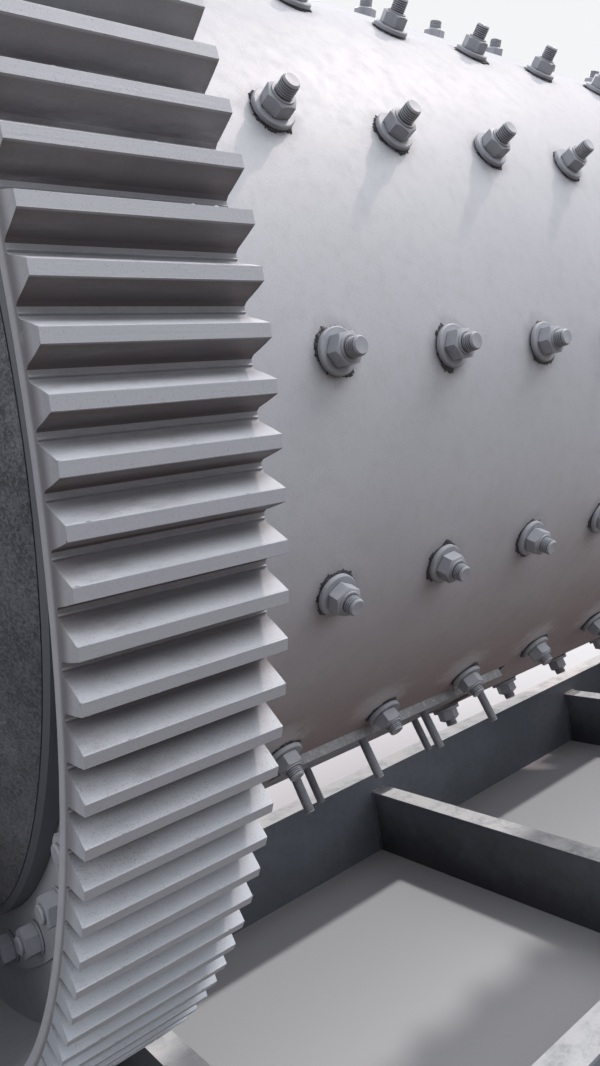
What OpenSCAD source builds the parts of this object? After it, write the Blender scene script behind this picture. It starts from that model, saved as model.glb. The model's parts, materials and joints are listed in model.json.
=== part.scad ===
// Ball mill with a spur girth gear, hollow trunnions in pillow blocks and a channel iron base frame.
// X runs along the mill axis, from the gear end (negative) to the feed end. Z is up, from the ground.
// The origin is on the ground, under the axis, at the middle of the shell. Lengths are in millimetres.

/* [Shell] */
// Outer radius of the shell plate
shell_r = 935; // [900:5:960]
// Thickness of the shell plate
shell_t = 20; // [14:1:24]
// Length of the shell from end face to end face
shell_len = 3460; // [2960:250:4460]
// How far the bolted end flanges stand out past the shell
flange_out = 105; // [85:5:125]
// Thickness of a welded shell end flange
flange_t = 40; // [30:1:50]

/* [Manhole] */
// Length of the flat cover along the mill
cover_len = 650; // [500:10:700]
// Width of the flat cover round the mill
cover_w = 442; // [380:2:460]
// Thickness of the cover plate
cover_t = 20; // [12:1:24]
// Corner radius of the cover plate
cover_corner = 40; // [20:1:60]
// How far the cover stands over the seat frame along each long side
cover_lap = 21; // [10:1:30]
// How far the middle of the cover's back face lies inside the shell's outer radius
cover_inset = 28; // [20:1:35]
// Direction of the cover below the horizontal, on the front side, in degrees
cover_drop = 64; // [55:1:80]
// Distance of the cover's middle from the gear end of the shell
cover_from_end = 714; // [600:1:2000]
// Depth of the seat frame under the cover
seat_depth = 40; // [25:1:50]
// Width of the seat frame's border
seat_border = 75; // [60:1:90]

/* [End heads] */
// Thickness of the head's bolted flange
head_flange_t = 40; // [30:1:50]
// How far the turned register stands out past the shell's outside
register_out = 7; // [0:1:25]
// Length of the turned register beyond the flange
register_len = 67; // [55:1:80]
// Thickness of the cone wall, square to its face
head_wall = 55; // [40:1:65]
// Distance from the shell's end face to the hub face
head_depth = 340; // [320:5:400]
// Radius of the hub that carries the trunnion
hub_r = 480; // [470:5:520]
// Thickness of the hub rim behind its face
hub_t = 55; // [45:1:80]
// Width of the wall between the trunnion's bore and the hub's bore
hub_land = 50; // [40:1:60]

/* [Trunnions] */
// Radius of the turned journal
journal_r = 350; // [320:1:370]
// Length of the journal between its collars
journal_len = 260; // [240:5:320]
// Height of the collars over the journal
collar_h = 35; // [20:1:40]
// Thickness of a collar
collar_t = 25; // [20:1:40]
// Thickness of the trunnion's flange
trunnion_flange_t = 45; // [35:1:60]
// Length of the neck between the flange and the inner collar
neck_len = 45; // [40:1:80]
// Length of the nose outside the outer collar
nose_len = 20; // [15:1:60]
// Radius of the hole through the trunnion
trunnion_bore_r = 250; // [220:1:265]
// Depth of the spigot that centres the trunnion in the hub
spigot_len = 30; // [15:1:40]
// Thickness of the liner tube in the trunnion
liner_t = 24; // [12:1:30]
// Thickness of the liner's outer flange
liner_flange_t = 15; // [10:1:25]
// How far the liner's flange stands over the trunnion bore
liner_flange_w = 28; // [20:1:35]
// Radius of the tapped holes in the nose
nose_hole_r = 10; // [8:1:12]
// Distance of the tapped holes from the outside of the nose
nose_hole_inset = 35; // [30:1:40]
// Number of tapped holes in the nose
nose_holes = 8; // [6:2:12]
// Depth of the tapped holes
nose_hole_depth = 40; // [30:1:50]

/* [Girth gear] */
// Module of the spur teeth
gear_module = 16; // [15.8:0.1:16.4]
// Width of the gear face
gear_face = 220; // [180:5:260]
// Pressure angle of the teeth in degrees
pressure_angle = 20; // [17:0.5:23]
// Thickness of the web where it seats on the head
web_boss_t = 40; // [30:1:50]
// Relief of the web's faces outside its seat
web_relief = 6; // [3:1:10]
// Distance from the web's nut face to the middle of the gear face
web_offset = 3; // [0:1:20]
// Space between the head's flange and the rim, for the wrench on the flange bolts
rim_gap = 95; // [80:1:110]
// Rim thickness under the root at the faces
rim_edge_t = 18; // [14:1:30]
// Extra rim thickness at the web, from the casting draft
rim_draft = 27; // [10:1:35]
// Thickness of a splice flange
splice_t = 32; // [24:1:40]
// How far the splice flanges stay back from the gear faces
splice_inset = 12; // [5:1:25]
// Turn of the gear about its axis that puts the teeth where they rest, in degrees
gear_phase = -1.725; // [-3:0.005:3]

/* [Main bearings] */
// Axial length of the bearing housings
bearing_len = 250; // [200:5:250]
// Wall thickness of the bush
bush_t = 45; // [30:1:50]
// Height of the mill axis over the bearing's foot
bearing_h = 480; // [470:5:560]
// Width of the bearing's foot
foot_w = 1120; // [1100:10:1200]
// Thickness of the bearing's foot
foot_t = 50; // [40:1:70]
// Thickness of the flanges at the horizontal split
split_t = 55; // [40:1:70]
// How far the split flanges stand out past the round of the cap
split_ear = 69.4; // [60:0.1:85]
// Wall thickness of the cap
cap_t = 75; // [50:1:90]
// Thickness of the cap's end walls
cap_end_t = 20; // [15:1:30]
// Depth of the cast pockets in the faces of the bearing base
pocket_depth = 85; // [40:1:95]
// Wall left round the pockets
pocket_wall = 32; // [20:1:40]
// Outer radius of the cap's two lifting lugs
lug_r = 45; // [35:1:55]
// Thickness of a lifting lug
lug_t = 36; // [25:1:45]
// Radius of the hole in a lifting lug
lug_hole_r = 21; // [15:0.5:24]
// Angle of a lifting lug from the top of the cap, in degrees
lug_angle = 38; // [25:1:50]

/* [Frame] */
// Height of the mill axis over the ground
axis_h = 1818; // [1700:1:1900]
// Distance between the webs of the long beams, inside
beam_gap = 1450; // [1400:10:1600]
// Height of the long channels
beam_h = 320; // [300:10:360]
// Flange width of the long channels
beam_w = 88; // [80:1:100]
// Web thickness of the long channels
beam_web = 8; // [7:0.5:12]
// Mean flange thickness of the long channels
beam_flange = 14; // [11:0.5:16]
// Height of the cross channels
cross_h = 250; // [200:10:280]
// Flange width of the cross channels
cross_w = 78; // [70:1:90]
// Web thickness of the cross channels
cross_web = 7; // [6:0.5:11]
// Mean flange thickness of the cross channels
cross_flange = 12; // [9:0.5:14]
// Distance from the middle cross channel to the next ones
cross_pitch = 1400; // [1200:10:1500]
// How far the frame runs on beyond the bearing centres
frame_over = 345; // [300:5:500]
// Radius of the anchor bolt holes in the long channels
anchor_r = 16.5; // [12:0.5:20]
// Distance of the anchor bolt holes from the ends of the frame
anchor_inset = 100; // [80:5:160]

/* [Bearing stands] */
// Plate thickness of the stands
stand_plate = 20; // [14:1:30]
// Distance between the two upright plates, over their outsides
stand_depth = 280; // [240:5:320]
// How far the stand's foot plate stands out past the upright plates
stand_lip = 50; // [30:1:70]
// Height of the gussets on the outside of the uprights
gusset_h = 260; // [150:10:400]
// Thickness of a gusset
gusset_t = 14; // [8:1:20]
// Distance between neighbouring gussets
gusset_pitch = 360; // [300:10:420]
// Thickness of the machined top plate
sole_t = 40; // [30:1:60]
// How far the top plate stands out past the bearing's foot
sole_lip = 40; // [20:1:60]

/* [Hidden] */

// Seating gap between pieces that are bolted or pressed together
seat = 0.3;
// Running gap between a journal and its bush
running = 0.3;
// Overshoot of a cut past the face it opens
over = 1;
GEAR_END = -1;
FEED_END = 1;

paint = [0.66, 0.68, 0.70];
cast_dark = [0.26, 0.27, 0.29];
steel = [0.74, 0.75, 0.76];
bronze = [0.62, 0.56, 0.44];

shell_in_r = shell_r - shell_t;
half_shell = shell_len / 2;
flange_r = shell_r + flange_out;
cover_seat = shell_r - cover_inset;
seat_w = cover_w - 2 * cover_lap;

// Head, in radius and distance u outwards from the shell's end face
register_r = shell_r + register_out;
register_u = head_flange_t + register_len;
mouth_lip = 45;
shoulder = 25;
shoulder_rise = 13;
shoulder_u = register_u + shoulder_rise;
cone_start_r = register_r - shoulder;
cone_end_u = head_depth - hub_t;
cone_slope = (cone_end_u - shoulder_u) / (cone_start_r - hub_r);
wall_u = head_wall * sqrt(1 + cone_slope * cone_slope);
mouth_r = shell_in_r - mouth_lip;
hub_bore_r = trunnion_bore_r + hub_land;
head_spigot_len = 12;

// Trunnion, from its flange outwards
trunnion_flange_u = head_depth + trunnion_flange_t;
collar_r = journal_r + collar_h;
neck_inset = 60;
neck_r = hub_r - neck_inset;
nose_hole_pcr = journal_r - nose_hole_inset;
inner_collar_u = trunnion_flange_u + neck_len;
journal_u = inner_collar_u + collar_t;
journal_end_u = journal_u + journal_len;
nose_u = journal_end_u + collar_t;
trunnion_end_u = nose_u + nose_len;
bearing_u = journal_u + journal_len / 2;
liner_r = trunnion_bore_r - seat;
liner_bore_r = liner_r - liner_t;
liner_start_u = head_depth - spigot_len;

// Gear, with the fewest teeth in an even number whose rim clears the head's flange
least_root_r = flange_r + rim_gap + rim_draft + rim_edge_t;
gear_teeth = 2 * ceil((least_root_r + 1.25 * gear_module) / gear_module - 0.001);
pitch_r = gear_module * gear_teeth / 2;
tip_r = pitch_r + gear_module;
root_r = pitch_r - 1.25 * gear_module;
root_fillet = 0.25 * gear_module;
tooth_step = 360 / gear_teeth;
half_teeth = gear_teeth / 2;
web_u = head_flange_t;
nut_face_u = web_u + web_boss_t;
gear_mid_u = nut_face_u + web_offset;
rim_edge_r = root_r - rim_edge_t;
rim_web_r = rim_edge_r - rim_draft;
splice_gap = 6;
splice_in_r = flange_r + splice_gap;
splice_bite = 2;

// Bearings
bush_r = journal_r + running;
bush_out_r = bush_r + bush_t;
saddle_r = bush_out_r + seat;
cap_r = saddle_r + cap_t;
split_w = 2 * (cap_r + split_ear);
eye_gap = 6;
cap_eye_r = journal_r + eye_gap;
bush_inset = 5;
bush_len = bearing_len - 2 * bush_inset;
waist_wall = 5;
waist = saddle_r + waist_wall;
lug_foot = 10;
lug_centre_r = cap_r + lug_foot + lug_hole_r;
bearing_x = half_shell + bearing_u;

// Frame
frame_len = 2 * (bearing_x + frame_over);
beam_y = beam_gap / 2;
sole_w = foot_w + 2 * sole_lip;
sole_x = bearing_len + 2 * sole_lip;
sole_top = axis_h - bearing_h;
stand_top = sole_top - sole_t;
stand_foot_x = stand_depth + 2 * stand_lip;
end_cross_x = frame_len / 2 - cross_w;

// Places a piece modelled round Z, with Z = 0 at the shell's end face, at one end of the mill
module at_end(side) {
    mirror([side < 0 ? 1 : 0, 0, 0])
        translate([half_shell, 0, axis_h])
            rotate([0, 90, 0])
                children();
}

// Places a piece modelled at the front side, level with the axis, at a place round the mill
module at_drop(degrees) {
    translate([0, 0, axis_h])
        rotate([degrees, 0, 0])
            children();
}

// A flat rectangle with true round corners
module round_rect(length, width, corner) {
    square([length - 2 * corner, width], center = true);
    square([length, width - 2 * corner], center = true);
    for (sx = [-1, 1])
        for (sy = [-1, 1])
            translate([sx * (length / 2 - corner), sy * (width / 2 - corner)])
                circle(corner, $fn = 48);
}

// Rolled channel along +X: web in the plane y = 0, flanges towards +Y, with the rolled taper
module channel(length, h, w, web, flange) {
    taper = (w - web) / 20;
    rotate([90, 0, 90])
        linear_extrude(length)
            polygon([
                [0, 0], [w, 0], [w, flange - taper], [web, flange + taper],
                [web, h - flange - taper], [w, h - flange + taper], [w, h], [0, h]
            ]);
}

module long_beam(side) {
    color(paint)
        difference() {
            mirror([0, side < 0 ? 1 : 0, 0])
                translate([-frame_len / 2, beam_y, 0])
                    channel(frame_len, beam_h, beam_w, beam_web, beam_flange);
            for (end = [-1, 1])
                translate([end * (frame_len / 2 - anchor_inset), side * anchor_y, -over])
                    cylinder(h = beam_h / 2, r = anchor_r, $fn = 48);
        }
}
anchor_y = beam_y + (beam_w + beam_web) / 2;

// Cross channel between the long beams, its web towards the gear end
module cross_beam(x) {
    color(paint)
        translate([x, beam_y, 0])
            rotate([0, 0, -90])
                channel(beam_gap, cross_h, cross_w, cross_web, cross_flange);
}
cross_x = [
    -end_cross_x - cross_w, -bearing_x - cross_w / 2, -cross_pitch - cross_w / 2, -cross_w / 2,
    cross_pitch - cross_w / 2, bearing_x - cross_w / 2, end_cross_x
];

// Welded bearing stand: foot plate, two tapered uprights, stiffeners and sloping end plates
module bearing_stand(side) {
    base_y = beam_y + beam_w;
    top_y = foot_w / 2;
    height = stand_top - beam_h;
    lean = (base_y - top_y) / (height - stand_plate);
    color(paint)
        translate([side * bearing_x, 0, beam_h])
            union() {
                translate([-stand_foot_x / 2, -base_y, 0])
                    cube([stand_foot_x, 2 * base_y, stand_plate]);
                for (s = [-1, 1])
                    translate([s * (stand_depth - stand_plate) / 2, 0, 0])
                        rotate([90, 0, 90])
                            linear_extrude(stand_plate, center = true)
                                polygon([
                                    [-base_y, stand_plate], [base_y, stand_plate],
                                    [top_y, height], [-top_y, height]
                                ]);
                for (s = [-1, 1])
                    mirror([s < 0 ? 1 : 0, 0, 0])
                        for (i = [-1.5:1:1.5])
                            translate([stand_depth / 2, i * gusset_pitch, stand_plate])
                                rotate([90, 0, 0])
                                    linear_extrude(gusset_t, center = true)
                                        polygon([
                                            [-stand_plate / 2, 0], [stand_lip, 0],
                                            [stand_lip, stand_plate], [0, gusset_h],
                                            [-stand_plate / 2, gusset_h]
                                        ]);
                for (y = [-top_y / 2, top_y / 2])
                    translate([-stand_depth / 2 + stand_plate, y - stand_plate / 2, stand_plate])
                        cube([stand_depth - 2 * stand_plate, stand_plate, height - stand_plate]);
                for (s = [-1, 1])
                    mirror([0, s < 0 ? 1 : 0, 0])
                        rotate([90, 0, 90])
                            linear_extrude(stand_depth - 2 * stand_plate, center = true)
                                polygon([
                                    [base_y, stand_plate], [top_y, height],
                                    [top_y - stand_plate, height],
                                    [base_y - stand_plate, stand_plate]
                                ]);
            }
}

module stand_sole(side) {
    color(paint)
        translate([side * bearing_x - sole_x / 2, -sole_w / 2, stand_top])
            cube([sole_x, sole_w, sole_t]);
}

// Extrudes a front view of the bearing along the mill, centred on the bearing
module along_bearing(side, length) {
    translate([side * bearing_x, 0, axis_h])
        rotate([90, 0, 90])
            linear_extrude(length, center = true)
                children();
}

// Pillow block base: foot, waisted body, split flange and the saddle for the bush
module bearing_base(side) {
    color(cast_dark)
        difference() {
            along_bearing(side, bearing_len) {
                translate([-foot_w / 2, -bearing_h])
                    square([foot_w, foot_t]);
                polygon([
                    [-waist, -bearing_h + foot_t], [waist, -bearing_h + foot_t],
                    [cap_r, -split_t], [-cap_r, -split_t]
                ]);
                translate([-split_w / 2, -split_t])
                    square([split_w, split_t]);
            }
            along_bearing(side, bearing_len + 2 * over)
                circle(saddle_r, $fn = 96);
            for (face = [-1, 1])
                translate([face * (bearing_len + over - pocket_depth) / 2, 0, 0])
                    along_bearing(side, pocket_depth + over)
                        base_pocket();
        }
}

// Pockets beside the saddle, in the front view of the bearing base
module base_pocket() {
    foot_top = foot_t - bearing_h;
    slope = (cap_r - waist) / (bearing_h - foot_t - split_t);
    low = foot_top + pocket_wall;
    high = -split_t - pocket_wall;
    difference() {
        polygon([
            [-waist - slope * (low - foot_top) + pocket_wall, low],
            [waist + slope * (low - foot_top) - pocket_wall, low],
            [waist + slope * (high - foot_top) - pocket_wall, high],
            [-waist - slope * (high - foot_top) + pocket_wall, high]
        ]);
        circle(saddle_r + pocket_wall, $fn = 96);
    }
}

// Lower half bush that the journal runs in
module bearing_bush(side) {
    color(bronze)
        difference() {
            along_bearing(side, bush_len)
                circle(bush_out_r, $fn = 96);
            along_bearing(side, bush_len + 2 * over)
                circle(bush_r, $fn = 96);
            translate([side * bearing_x, 0, axis_h + bush_out_r])
                cube([bush_len + 2 * over, 4 * bush_out_r, 2 * bush_out_r], center = true);
        }
}

// Cap: a half drum with split flanges, hollow inside, with end walls round the journal
module bearing_cap(side) {
    color(cast_dark)
        difference() {
            union() {
                difference() {
                    along_bearing(side, bearing_len)
                        circle(cap_r, $fn = 96);
                    translate([side * bearing_x, 0, axis_h - cap_r])
                        cube([bearing_len + 2 * over, 4 * cap_r, 2 * cap_r], center = true);
                }
                along_bearing(side, bearing_len)
                    translate([-split_w / 2, 0])
                        square([split_w, split_t]);
                for (s = [-1, 1])
                    along_bearing(side, lug_t)
                        rotate(s * lug_angle) {
                            translate([0, lug_centre_r])
                                circle(lug_r, $fn = 48);
                            translate([-lug_r, cap_r - cap_t / 2])
                                square([2 * lug_r, lug_centre_r - cap_r + cap_t / 2]);
                        }
            }
            for (s = [-1, 1])
                along_bearing(side, lug_t + 2 * over)
                    rotate(s * lug_angle)
                        translate([0, lug_centre_r])
                            circle(lug_hole_r, $fn = 48);
            along_bearing(side, bearing_len - 2 * cap_end_t)
                circle(saddle_r, $fn = 96);
            along_bearing(side, bearing_len + 2 * over)
                circle(cap_eye_r, $fn = 96);
        }
}

// Rectangular block facing outwards from the manhole's direction, from one depth to another
module manhole_block(length, width, from_d, to_d) {
    at_drop(cover_drop)
        translate([cover_from_end - half_shell, -(from_d + to_d) / 2, 0])
            cube([length, to_d - from_d, width], center = true);
}

module shell() {
    color(paint)
        difference() {
            translate([-half_shell, 0, axis_h])
                rotate([0, 90, 0])
                    cylinder(h = shell_len, r = shell_r, $fn = 180);
            translate([-half_shell - over, 0, axis_h])
                rotate([0, 90, 0])
                    cylinder(h = shell_len + 2 * over, r = shell_in_r, $fn = 180);
            manhole_block(cover_len + 2 * seat, seat_w + 2 * seat, shell_in_r / 2, shell_r + over);
            manhole_block(cover_len + 2 * seat, cover_w + 2 * seat, cover_seat - seat, shell_r + over);
        }
}

module shell_flange(side) {
    color(paint)
        at_end(side)
            translate([0, 0, -flange_t])
                difference() {
                    cylinder(h = flange_t, r = flange_r, $fn = 180);
                    translate([0, 0, -over])
                        cylinder(h = flange_t + 2 * over, r = shell_r + seat, $fn = 180);
                }
}

// Flat frame let into the shell, with the manhole through it
module manhole_frame() {
    color(paint)
        difference() {
            manhole_block(cover_len, seat_w, cover_seat - seat_depth, cover_seat);
            manhole_block(cover_len - 2 * seat_border, seat_w - 2 * seat_border,
                          cover_seat - seat_depth - over, cover_seat + over);
        }
}

// Flat cover plate with round corners
module manhole_plate() {
    color(paint)
        at_drop(cover_drop)
            translate([cover_from_end - half_shell, -cover_seat, 0])
                rotate([90, 0, 0])
                    linear_extrude(cover_t)
                        round_rect(cover_len, cover_w, cover_corner);
}

// Cast end head: flange, turned register, cone and hub, hollow inside
module head(side) {
    color(cast_dark)
        at_end(side)
            rotate_extrude($fn = 180)
                polygon([
                    [mouth_r, -head_spigot_len], [shell_in_r - seat, -head_spigot_len],
                    [shell_in_r - seat, 0], [flange_r, 0], [flange_r, head_flange_t],
                    [register_r, head_flange_t], [register_r, register_u],
                    [cone_start_r, shoulder_u], [hub_r, cone_end_u], [hub_r, head_depth],
                    [hub_bore_r, head_depth],
                    [hub_bore_r, cone_end_u - wall_u + (hub_r - hub_bore_r) * cone_slope],
                    [mouth_r, shoulder_u - wall_u + (cone_start_r - mouth_r) * cone_slope]
                ]);
}

// Hollow trunnion: spigot, flange, neck, journal between two collars, and a nose with tapped holes
module trunnion(side) {
    color(steel)
        at_end(side)
            difference() {
                rotate_extrude($fn = 120)
                    polygon([
                        [trunnion_bore_r, liner_start_u], [hub_bore_r - seat, liner_start_u],
                        [hub_bore_r - seat, head_depth], [hub_r, head_depth],
                        [hub_r, trunnion_flange_u], [neck_r, trunnion_flange_u],
                        [collar_r, inner_collar_u], [collar_r, journal_u],
                        [journal_r, journal_u], [journal_r, journal_end_u],
                        [collar_r, journal_end_u], [collar_r, nose_u],
                        [journal_r, nose_u], [journal_r, trunnion_end_u],
                        [trunnion_bore_r, trunnion_end_u]
                    ]);
                for (i = [0:nose_holes - 1])
                    rotate([0, 0, (i + 0.5) * 360 / nose_holes])
                        translate([nose_hole_pcr, 0, trunnion_end_u - nose_hole_depth])
                            cylinder(h = nose_hole_depth + over, r = nose_hole_r, $fn = 32);
            }
}

// Liner tube in the trunnion, with a flange on its outer end
module trunnion_liner(side) {
    color(paint)
        at_end(side)
            rotate_extrude($fn = 120)
                polygon([
                    [liner_bore_r, liner_start_u], [liner_r, liner_start_u],
                    [liner_r, trunnion_end_u], [trunnion_bore_r + liner_flange_w, trunnion_end_u],
                    [trunnion_bore_r + liner_flange_w, trunnion_end_u + liner_flange_t],
                    [liner_bore_r, trunnion_end_u + liner_flange_t]
                ]);
}

// Involute of an angle given in degrees, in degrees
function inv(a) = tan(a) * 180 / PI - a;

// Half of the angle that a tooth fills at a radius, in degrees
function half_tooth(r) =
    90 / gear_teeth + inv(pressure_angle) - inv(acos(pitch_r * cos(pressure_angle) / r));

function polar(r, a) = [r * cos(a), r * sin(a)];

// Rising flank of a tooth centred on angle 0: root corner, fillet, involute points and tip
flank_steps = 3;
flank_low = root_r + root_fillet;
flank = concat(
    [[root_r, -half_tooth(flank_low) - root_fillet * 0.8 / root_r * 180 / PI]],
    [for (i = [0:flank_steps])
        let (r = flank_low + (tip_r - flank_low) * i / flank_steps)
            [r, -half_tooth(r)]]
);

function tooth(centre) = concat(
    [for (p = flank) polar(p[0], centre + p[1])],
    [for (i = [len(flank) - 1:-1:0]) polar(flank[i][0], centre - flank[i][1])]
);

// Half of the toothed disc, from one tooth space to the opposite one
half_gear_outline = concat(
    [[root_r, 0]],
    [for (i = [0:half_teeth - 1]) each tooth((i + 0.5) * tooth_step)],
    [[-root_r, 0]]
);

// One half of the girth gear: teeth, drafted rim, relieved web with its seat, and splice flanges
module gear_half(turn) {
    face_low = gear_mid_u - gear_face / 2;
    face_high = gear_mid_u + gear_face / 2;
    color(paint)
        at_end(GEAR_END)
            rotate([0, 0, gear_phase + turn])
                union() {
                    difference() {
                        translate([0, 0, face_low])
                            linear_extrude(gear_face)
                                polygon(half_gear_outline);
                        translate([0, 0, face_low - over])
                            cylinder(h = gear_face + 2 * over, r = register_r + seat, $fn = 180);
                        rotate_extrude($fn = 180)
                            polygon([
                                [0, face_low - over], [rim_edge_r, face_low - over],
                                [rim_edge_r, face_low], [rim_web_r, web_u + web_relief],
                                [flange_r, web_u + web_relief], [flange_r, web_u], [0, web_u]
                            ]);
                        rotate_extrude($fn = 180)
                            polygon([
                                [0, nut_face_u], [flange_r, nut_face_u],
                                [flange_r, nut_face_u - web_relief],
                                [rim_web_r, nut_face_u - web_relief], [rim_edge_r, face_high],
                                [rim_edge_r, face_high + over], [0, face_high + over]
                            ]);
                    }
                    for (s = [0, 1])
                        mirror([s, 0, 0])
                            translate([splice_in_r, 0, face_low + splice_inset])
                                cube([rim_edge_r - splice_in_r + splice_bite, splice_t,
                                      gear_face - 2 * splice_inset]);
                }
}

long_beam(-1);  // long_beam_front
long_beam(1);  // long_beam_back
cross_beam(cross_x[0]);  // cross_beam_1
cross_beam(cross_x[1]);  // cross_beam_2
cross_beam(cross_x[2]);  // cross_beam_3
cross_beam(cross_x[3]);  // cross_beam_4
cross_beam(cross_x[4]);  // cross_beam_5
cross_beam(cross_x[5]);  // cross_beam_6
cross_beam(cross_x[6]);  // cross_beam_7
bearing_stand(GEAR_END);  // bearing_stand_gear_end
bearing_stand(FEED_END);  // bearing_stand_feed_end
stand_sole(GEAR_END);  // stand_top_gear_end
stand_sole(FEED_END);  // stand_top_feed_end
bearing_base(GEAR_END);  // bearing_base_gear_end
bearing_base(FEED_END);  // bearing_base_feed_end
bearing_bush(GEAR_END);  // bearing_bush_gear_end
bearing_bush(FEED_END);  // bearing_bush_feed_end
bearing_cap(GEAR_END);  // bearing_cap_gear_end
bearing_cap(FEED_END);  // bearing_cap_feed_end
shell();
shell_flange(GEAR_END);  // shell_flange_gear_end
shell_flange(FEED_END);  // shell_flange_feed_end
manhole_frame();  // manhole_seat
manhole_plate();  // manhole_cover
head(GEAR_END);  // head_gear_end
head(FEED_END);  // head_feed_end
trunnion(GEAR_END);  // trunnion_gear_end
trunnion(FEED_END);  // trunnion_feed_end
trunnion_liner(GEAR_END);  // trunnion_liner_gear_end
trunnion_liner(FEED_END);  // trunnion_liner_feed_end
gear_half(180);  // gear_half_front
gear_half(0);  // gear_half_back
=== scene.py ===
# Ball mill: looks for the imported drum, girth gear, bearings and channel frame
import bpy
import json
import math
from mathutils import Matrix, Vector


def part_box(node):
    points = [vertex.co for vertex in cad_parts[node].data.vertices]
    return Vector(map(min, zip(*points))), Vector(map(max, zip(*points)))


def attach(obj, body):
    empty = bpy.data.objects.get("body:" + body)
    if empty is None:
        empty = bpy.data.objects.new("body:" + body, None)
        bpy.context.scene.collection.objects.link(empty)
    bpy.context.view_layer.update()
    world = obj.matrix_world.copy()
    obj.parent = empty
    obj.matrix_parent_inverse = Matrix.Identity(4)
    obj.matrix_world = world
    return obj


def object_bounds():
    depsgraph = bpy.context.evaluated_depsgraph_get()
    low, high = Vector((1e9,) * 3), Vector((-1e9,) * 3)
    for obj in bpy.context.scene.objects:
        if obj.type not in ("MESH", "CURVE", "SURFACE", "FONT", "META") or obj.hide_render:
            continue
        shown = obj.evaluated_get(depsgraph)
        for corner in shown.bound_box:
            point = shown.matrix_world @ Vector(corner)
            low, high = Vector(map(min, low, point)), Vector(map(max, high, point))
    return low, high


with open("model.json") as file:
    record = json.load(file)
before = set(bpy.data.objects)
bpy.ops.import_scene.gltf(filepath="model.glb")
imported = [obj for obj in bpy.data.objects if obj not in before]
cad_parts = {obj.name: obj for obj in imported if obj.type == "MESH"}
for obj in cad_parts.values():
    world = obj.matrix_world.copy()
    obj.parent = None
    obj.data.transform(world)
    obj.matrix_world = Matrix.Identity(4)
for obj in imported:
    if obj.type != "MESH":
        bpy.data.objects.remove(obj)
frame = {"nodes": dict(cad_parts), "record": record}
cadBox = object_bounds()
print("frame loaded:", len(frame["nodes"]), "nodes")

scene = bpy.context.scene
axisHeight = 1.818  # mill axis over the ground
shellRadius = 0.935
boltRows = {"firstAngle": math.radians(42.72), "stepAngle": math.radians(22.5), "firstColumn": -1.625,
            "columnStep": 0.25}
gearTeeth = {"count": 150, "turn": math.radians(1.725), "root": 1.180, "tip": 1.216, "from": -1.923,
             "to": -1.703}


# small helpers for colours and node trees
def colour(code):
    # "#rrggbb" as the linear colour that Blender's sockets want
    out = []
    for i in (1, 3, 5):
        c = int(code[i:i + 2], 16) / 255
        out.append(c / 12.92 if c <= 0.04045 else ((c + 0.055) / 1.055) ** 2.4)
    return (*out, 1.0)


def feed(tree, socket, value):
    if isinstance(value, bpy.types.NodeSocket):
        tree.links.new(value, socket)
    elif value is not None:
        socket.default_value = value


def addNode(tree, kind, inputs=None, **settings):
    made = tree.nodes.new(kind)
    for key, value in settings.items():
        setattr(made, key, value)
    for key, value in (inputs or {}).items():
        feed(tree, made.inputs[key], value)
    return made


def calc(tree, operation, *values, clamp=False):
    made = addNode(tree, "ShaderNodeMath", operation=operation, use_clamp=clamp)
    for i, value in enumerate(values):
        feed(tree, made.inputs[i], value)
    return made.outputs[0]


def plus(tree, a, b):
    return calc(tree, "ADD", a, b)


def minus(tree, a, b):
    return calc(tree, "SUBTRACT", a, b)


def over(tree, a, b):
    return calc(tree, "DIVIDE", a, b)


def times(tree, product, *more):
    for value in more:
        product = calc(tree, "MULTIPLY", product, value)
    return product


def distance(tree, a, b):
    return calc(tree, "SQRT", plus(tree, times(tree, a, a), times(tree, b, b)))


def vectorCalc(tree, operation, a, b=None, out=0):
    made = addNode(tree, "ShaderNodeVectorMath", operation=operation)
    feed(tree, made.inputs[0], a)
    feed(tree, made.inputs[1], b)
    return made.outputs[out]


def rise(tree, value, low, high):
    # 0 at low, 1 at high, smooth between; low may be over high
    made = addNode(tree, "ShaderNodeMapRange", {"Value": value, "From Min": low, "From Max": high},
                   interpolation_type="SMOOTHSTEP", clamp=True)
    return made.outputs["Result"]


def noise(tree, place, scale, detail=3.0, roughness=0.55, distortion=0.0):
    made = addNode(tree, "ShaderNodeTexNoise", {"Vector": place, "Scale": scale, "Detail": detail,
                                                "Roughness": roughness, "Distortion": distortion})
    return made.outputs["Fac"]


def stretchedNoise(tree, place, stretch, detail, roughness):
    return noise(tree, vectorCalc(tree, "MULTIPLY", place, stretch), 1.0, detail, roughness)


def blendColours(tree, share, a, b):
    made = addNode(tree, "ShaderNodeMix", data_type="RGBA", clamp_factor=True)
    feed(tree, made.inputs[0], share)
    feed(tree, made.inputs[6], a)
    feed(tree, made.inputs[7], b)
    return made.outputs[2]


def coated(tree, base, share, code):
    # a share of one more colour over the base
    return blendColours(tree, share, base, colour(code))


def startMaterial(name):
    mat = bpy.data.materials.new(name)
    mat.use_nodes = True
    tree = mat.node_tree
    tree.nodes.clear()
    where = addNode(tree, "ShaderNodeTexCoord")
    x, y, z = addNode(tree, "ShaderNodeSeparateXYZ", {0: where.outputs["Object"]}).outputs
    endways, across, up = addNode(tree, "ShaderNodeSeparateXYZ", {0: where.outputs["Normal"]}).outputs
    fromAxis = minus(tree, z, axisHeight)
    spots = {"place": where.outputs["Object"], "x": x, "y": y, "z": z, "endways": endways, "across": across,
             "up": up, "fromAxis": fromAxis, "radius": distance(tree, y, fromAxis)}
    return mat, tree, spots


def underneath(tree, spots):
    # 1 right under the mill axis, 0 level with it
    return times(tree, over(tree, spots["fromAxis"], spots["radius"]), -1.0)


def turnRoundAxis(tree, spots):
    return calc(tree, "ARCTAN2", spots["fromAxis"], times(tree, spots["y"], -1.0))


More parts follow.
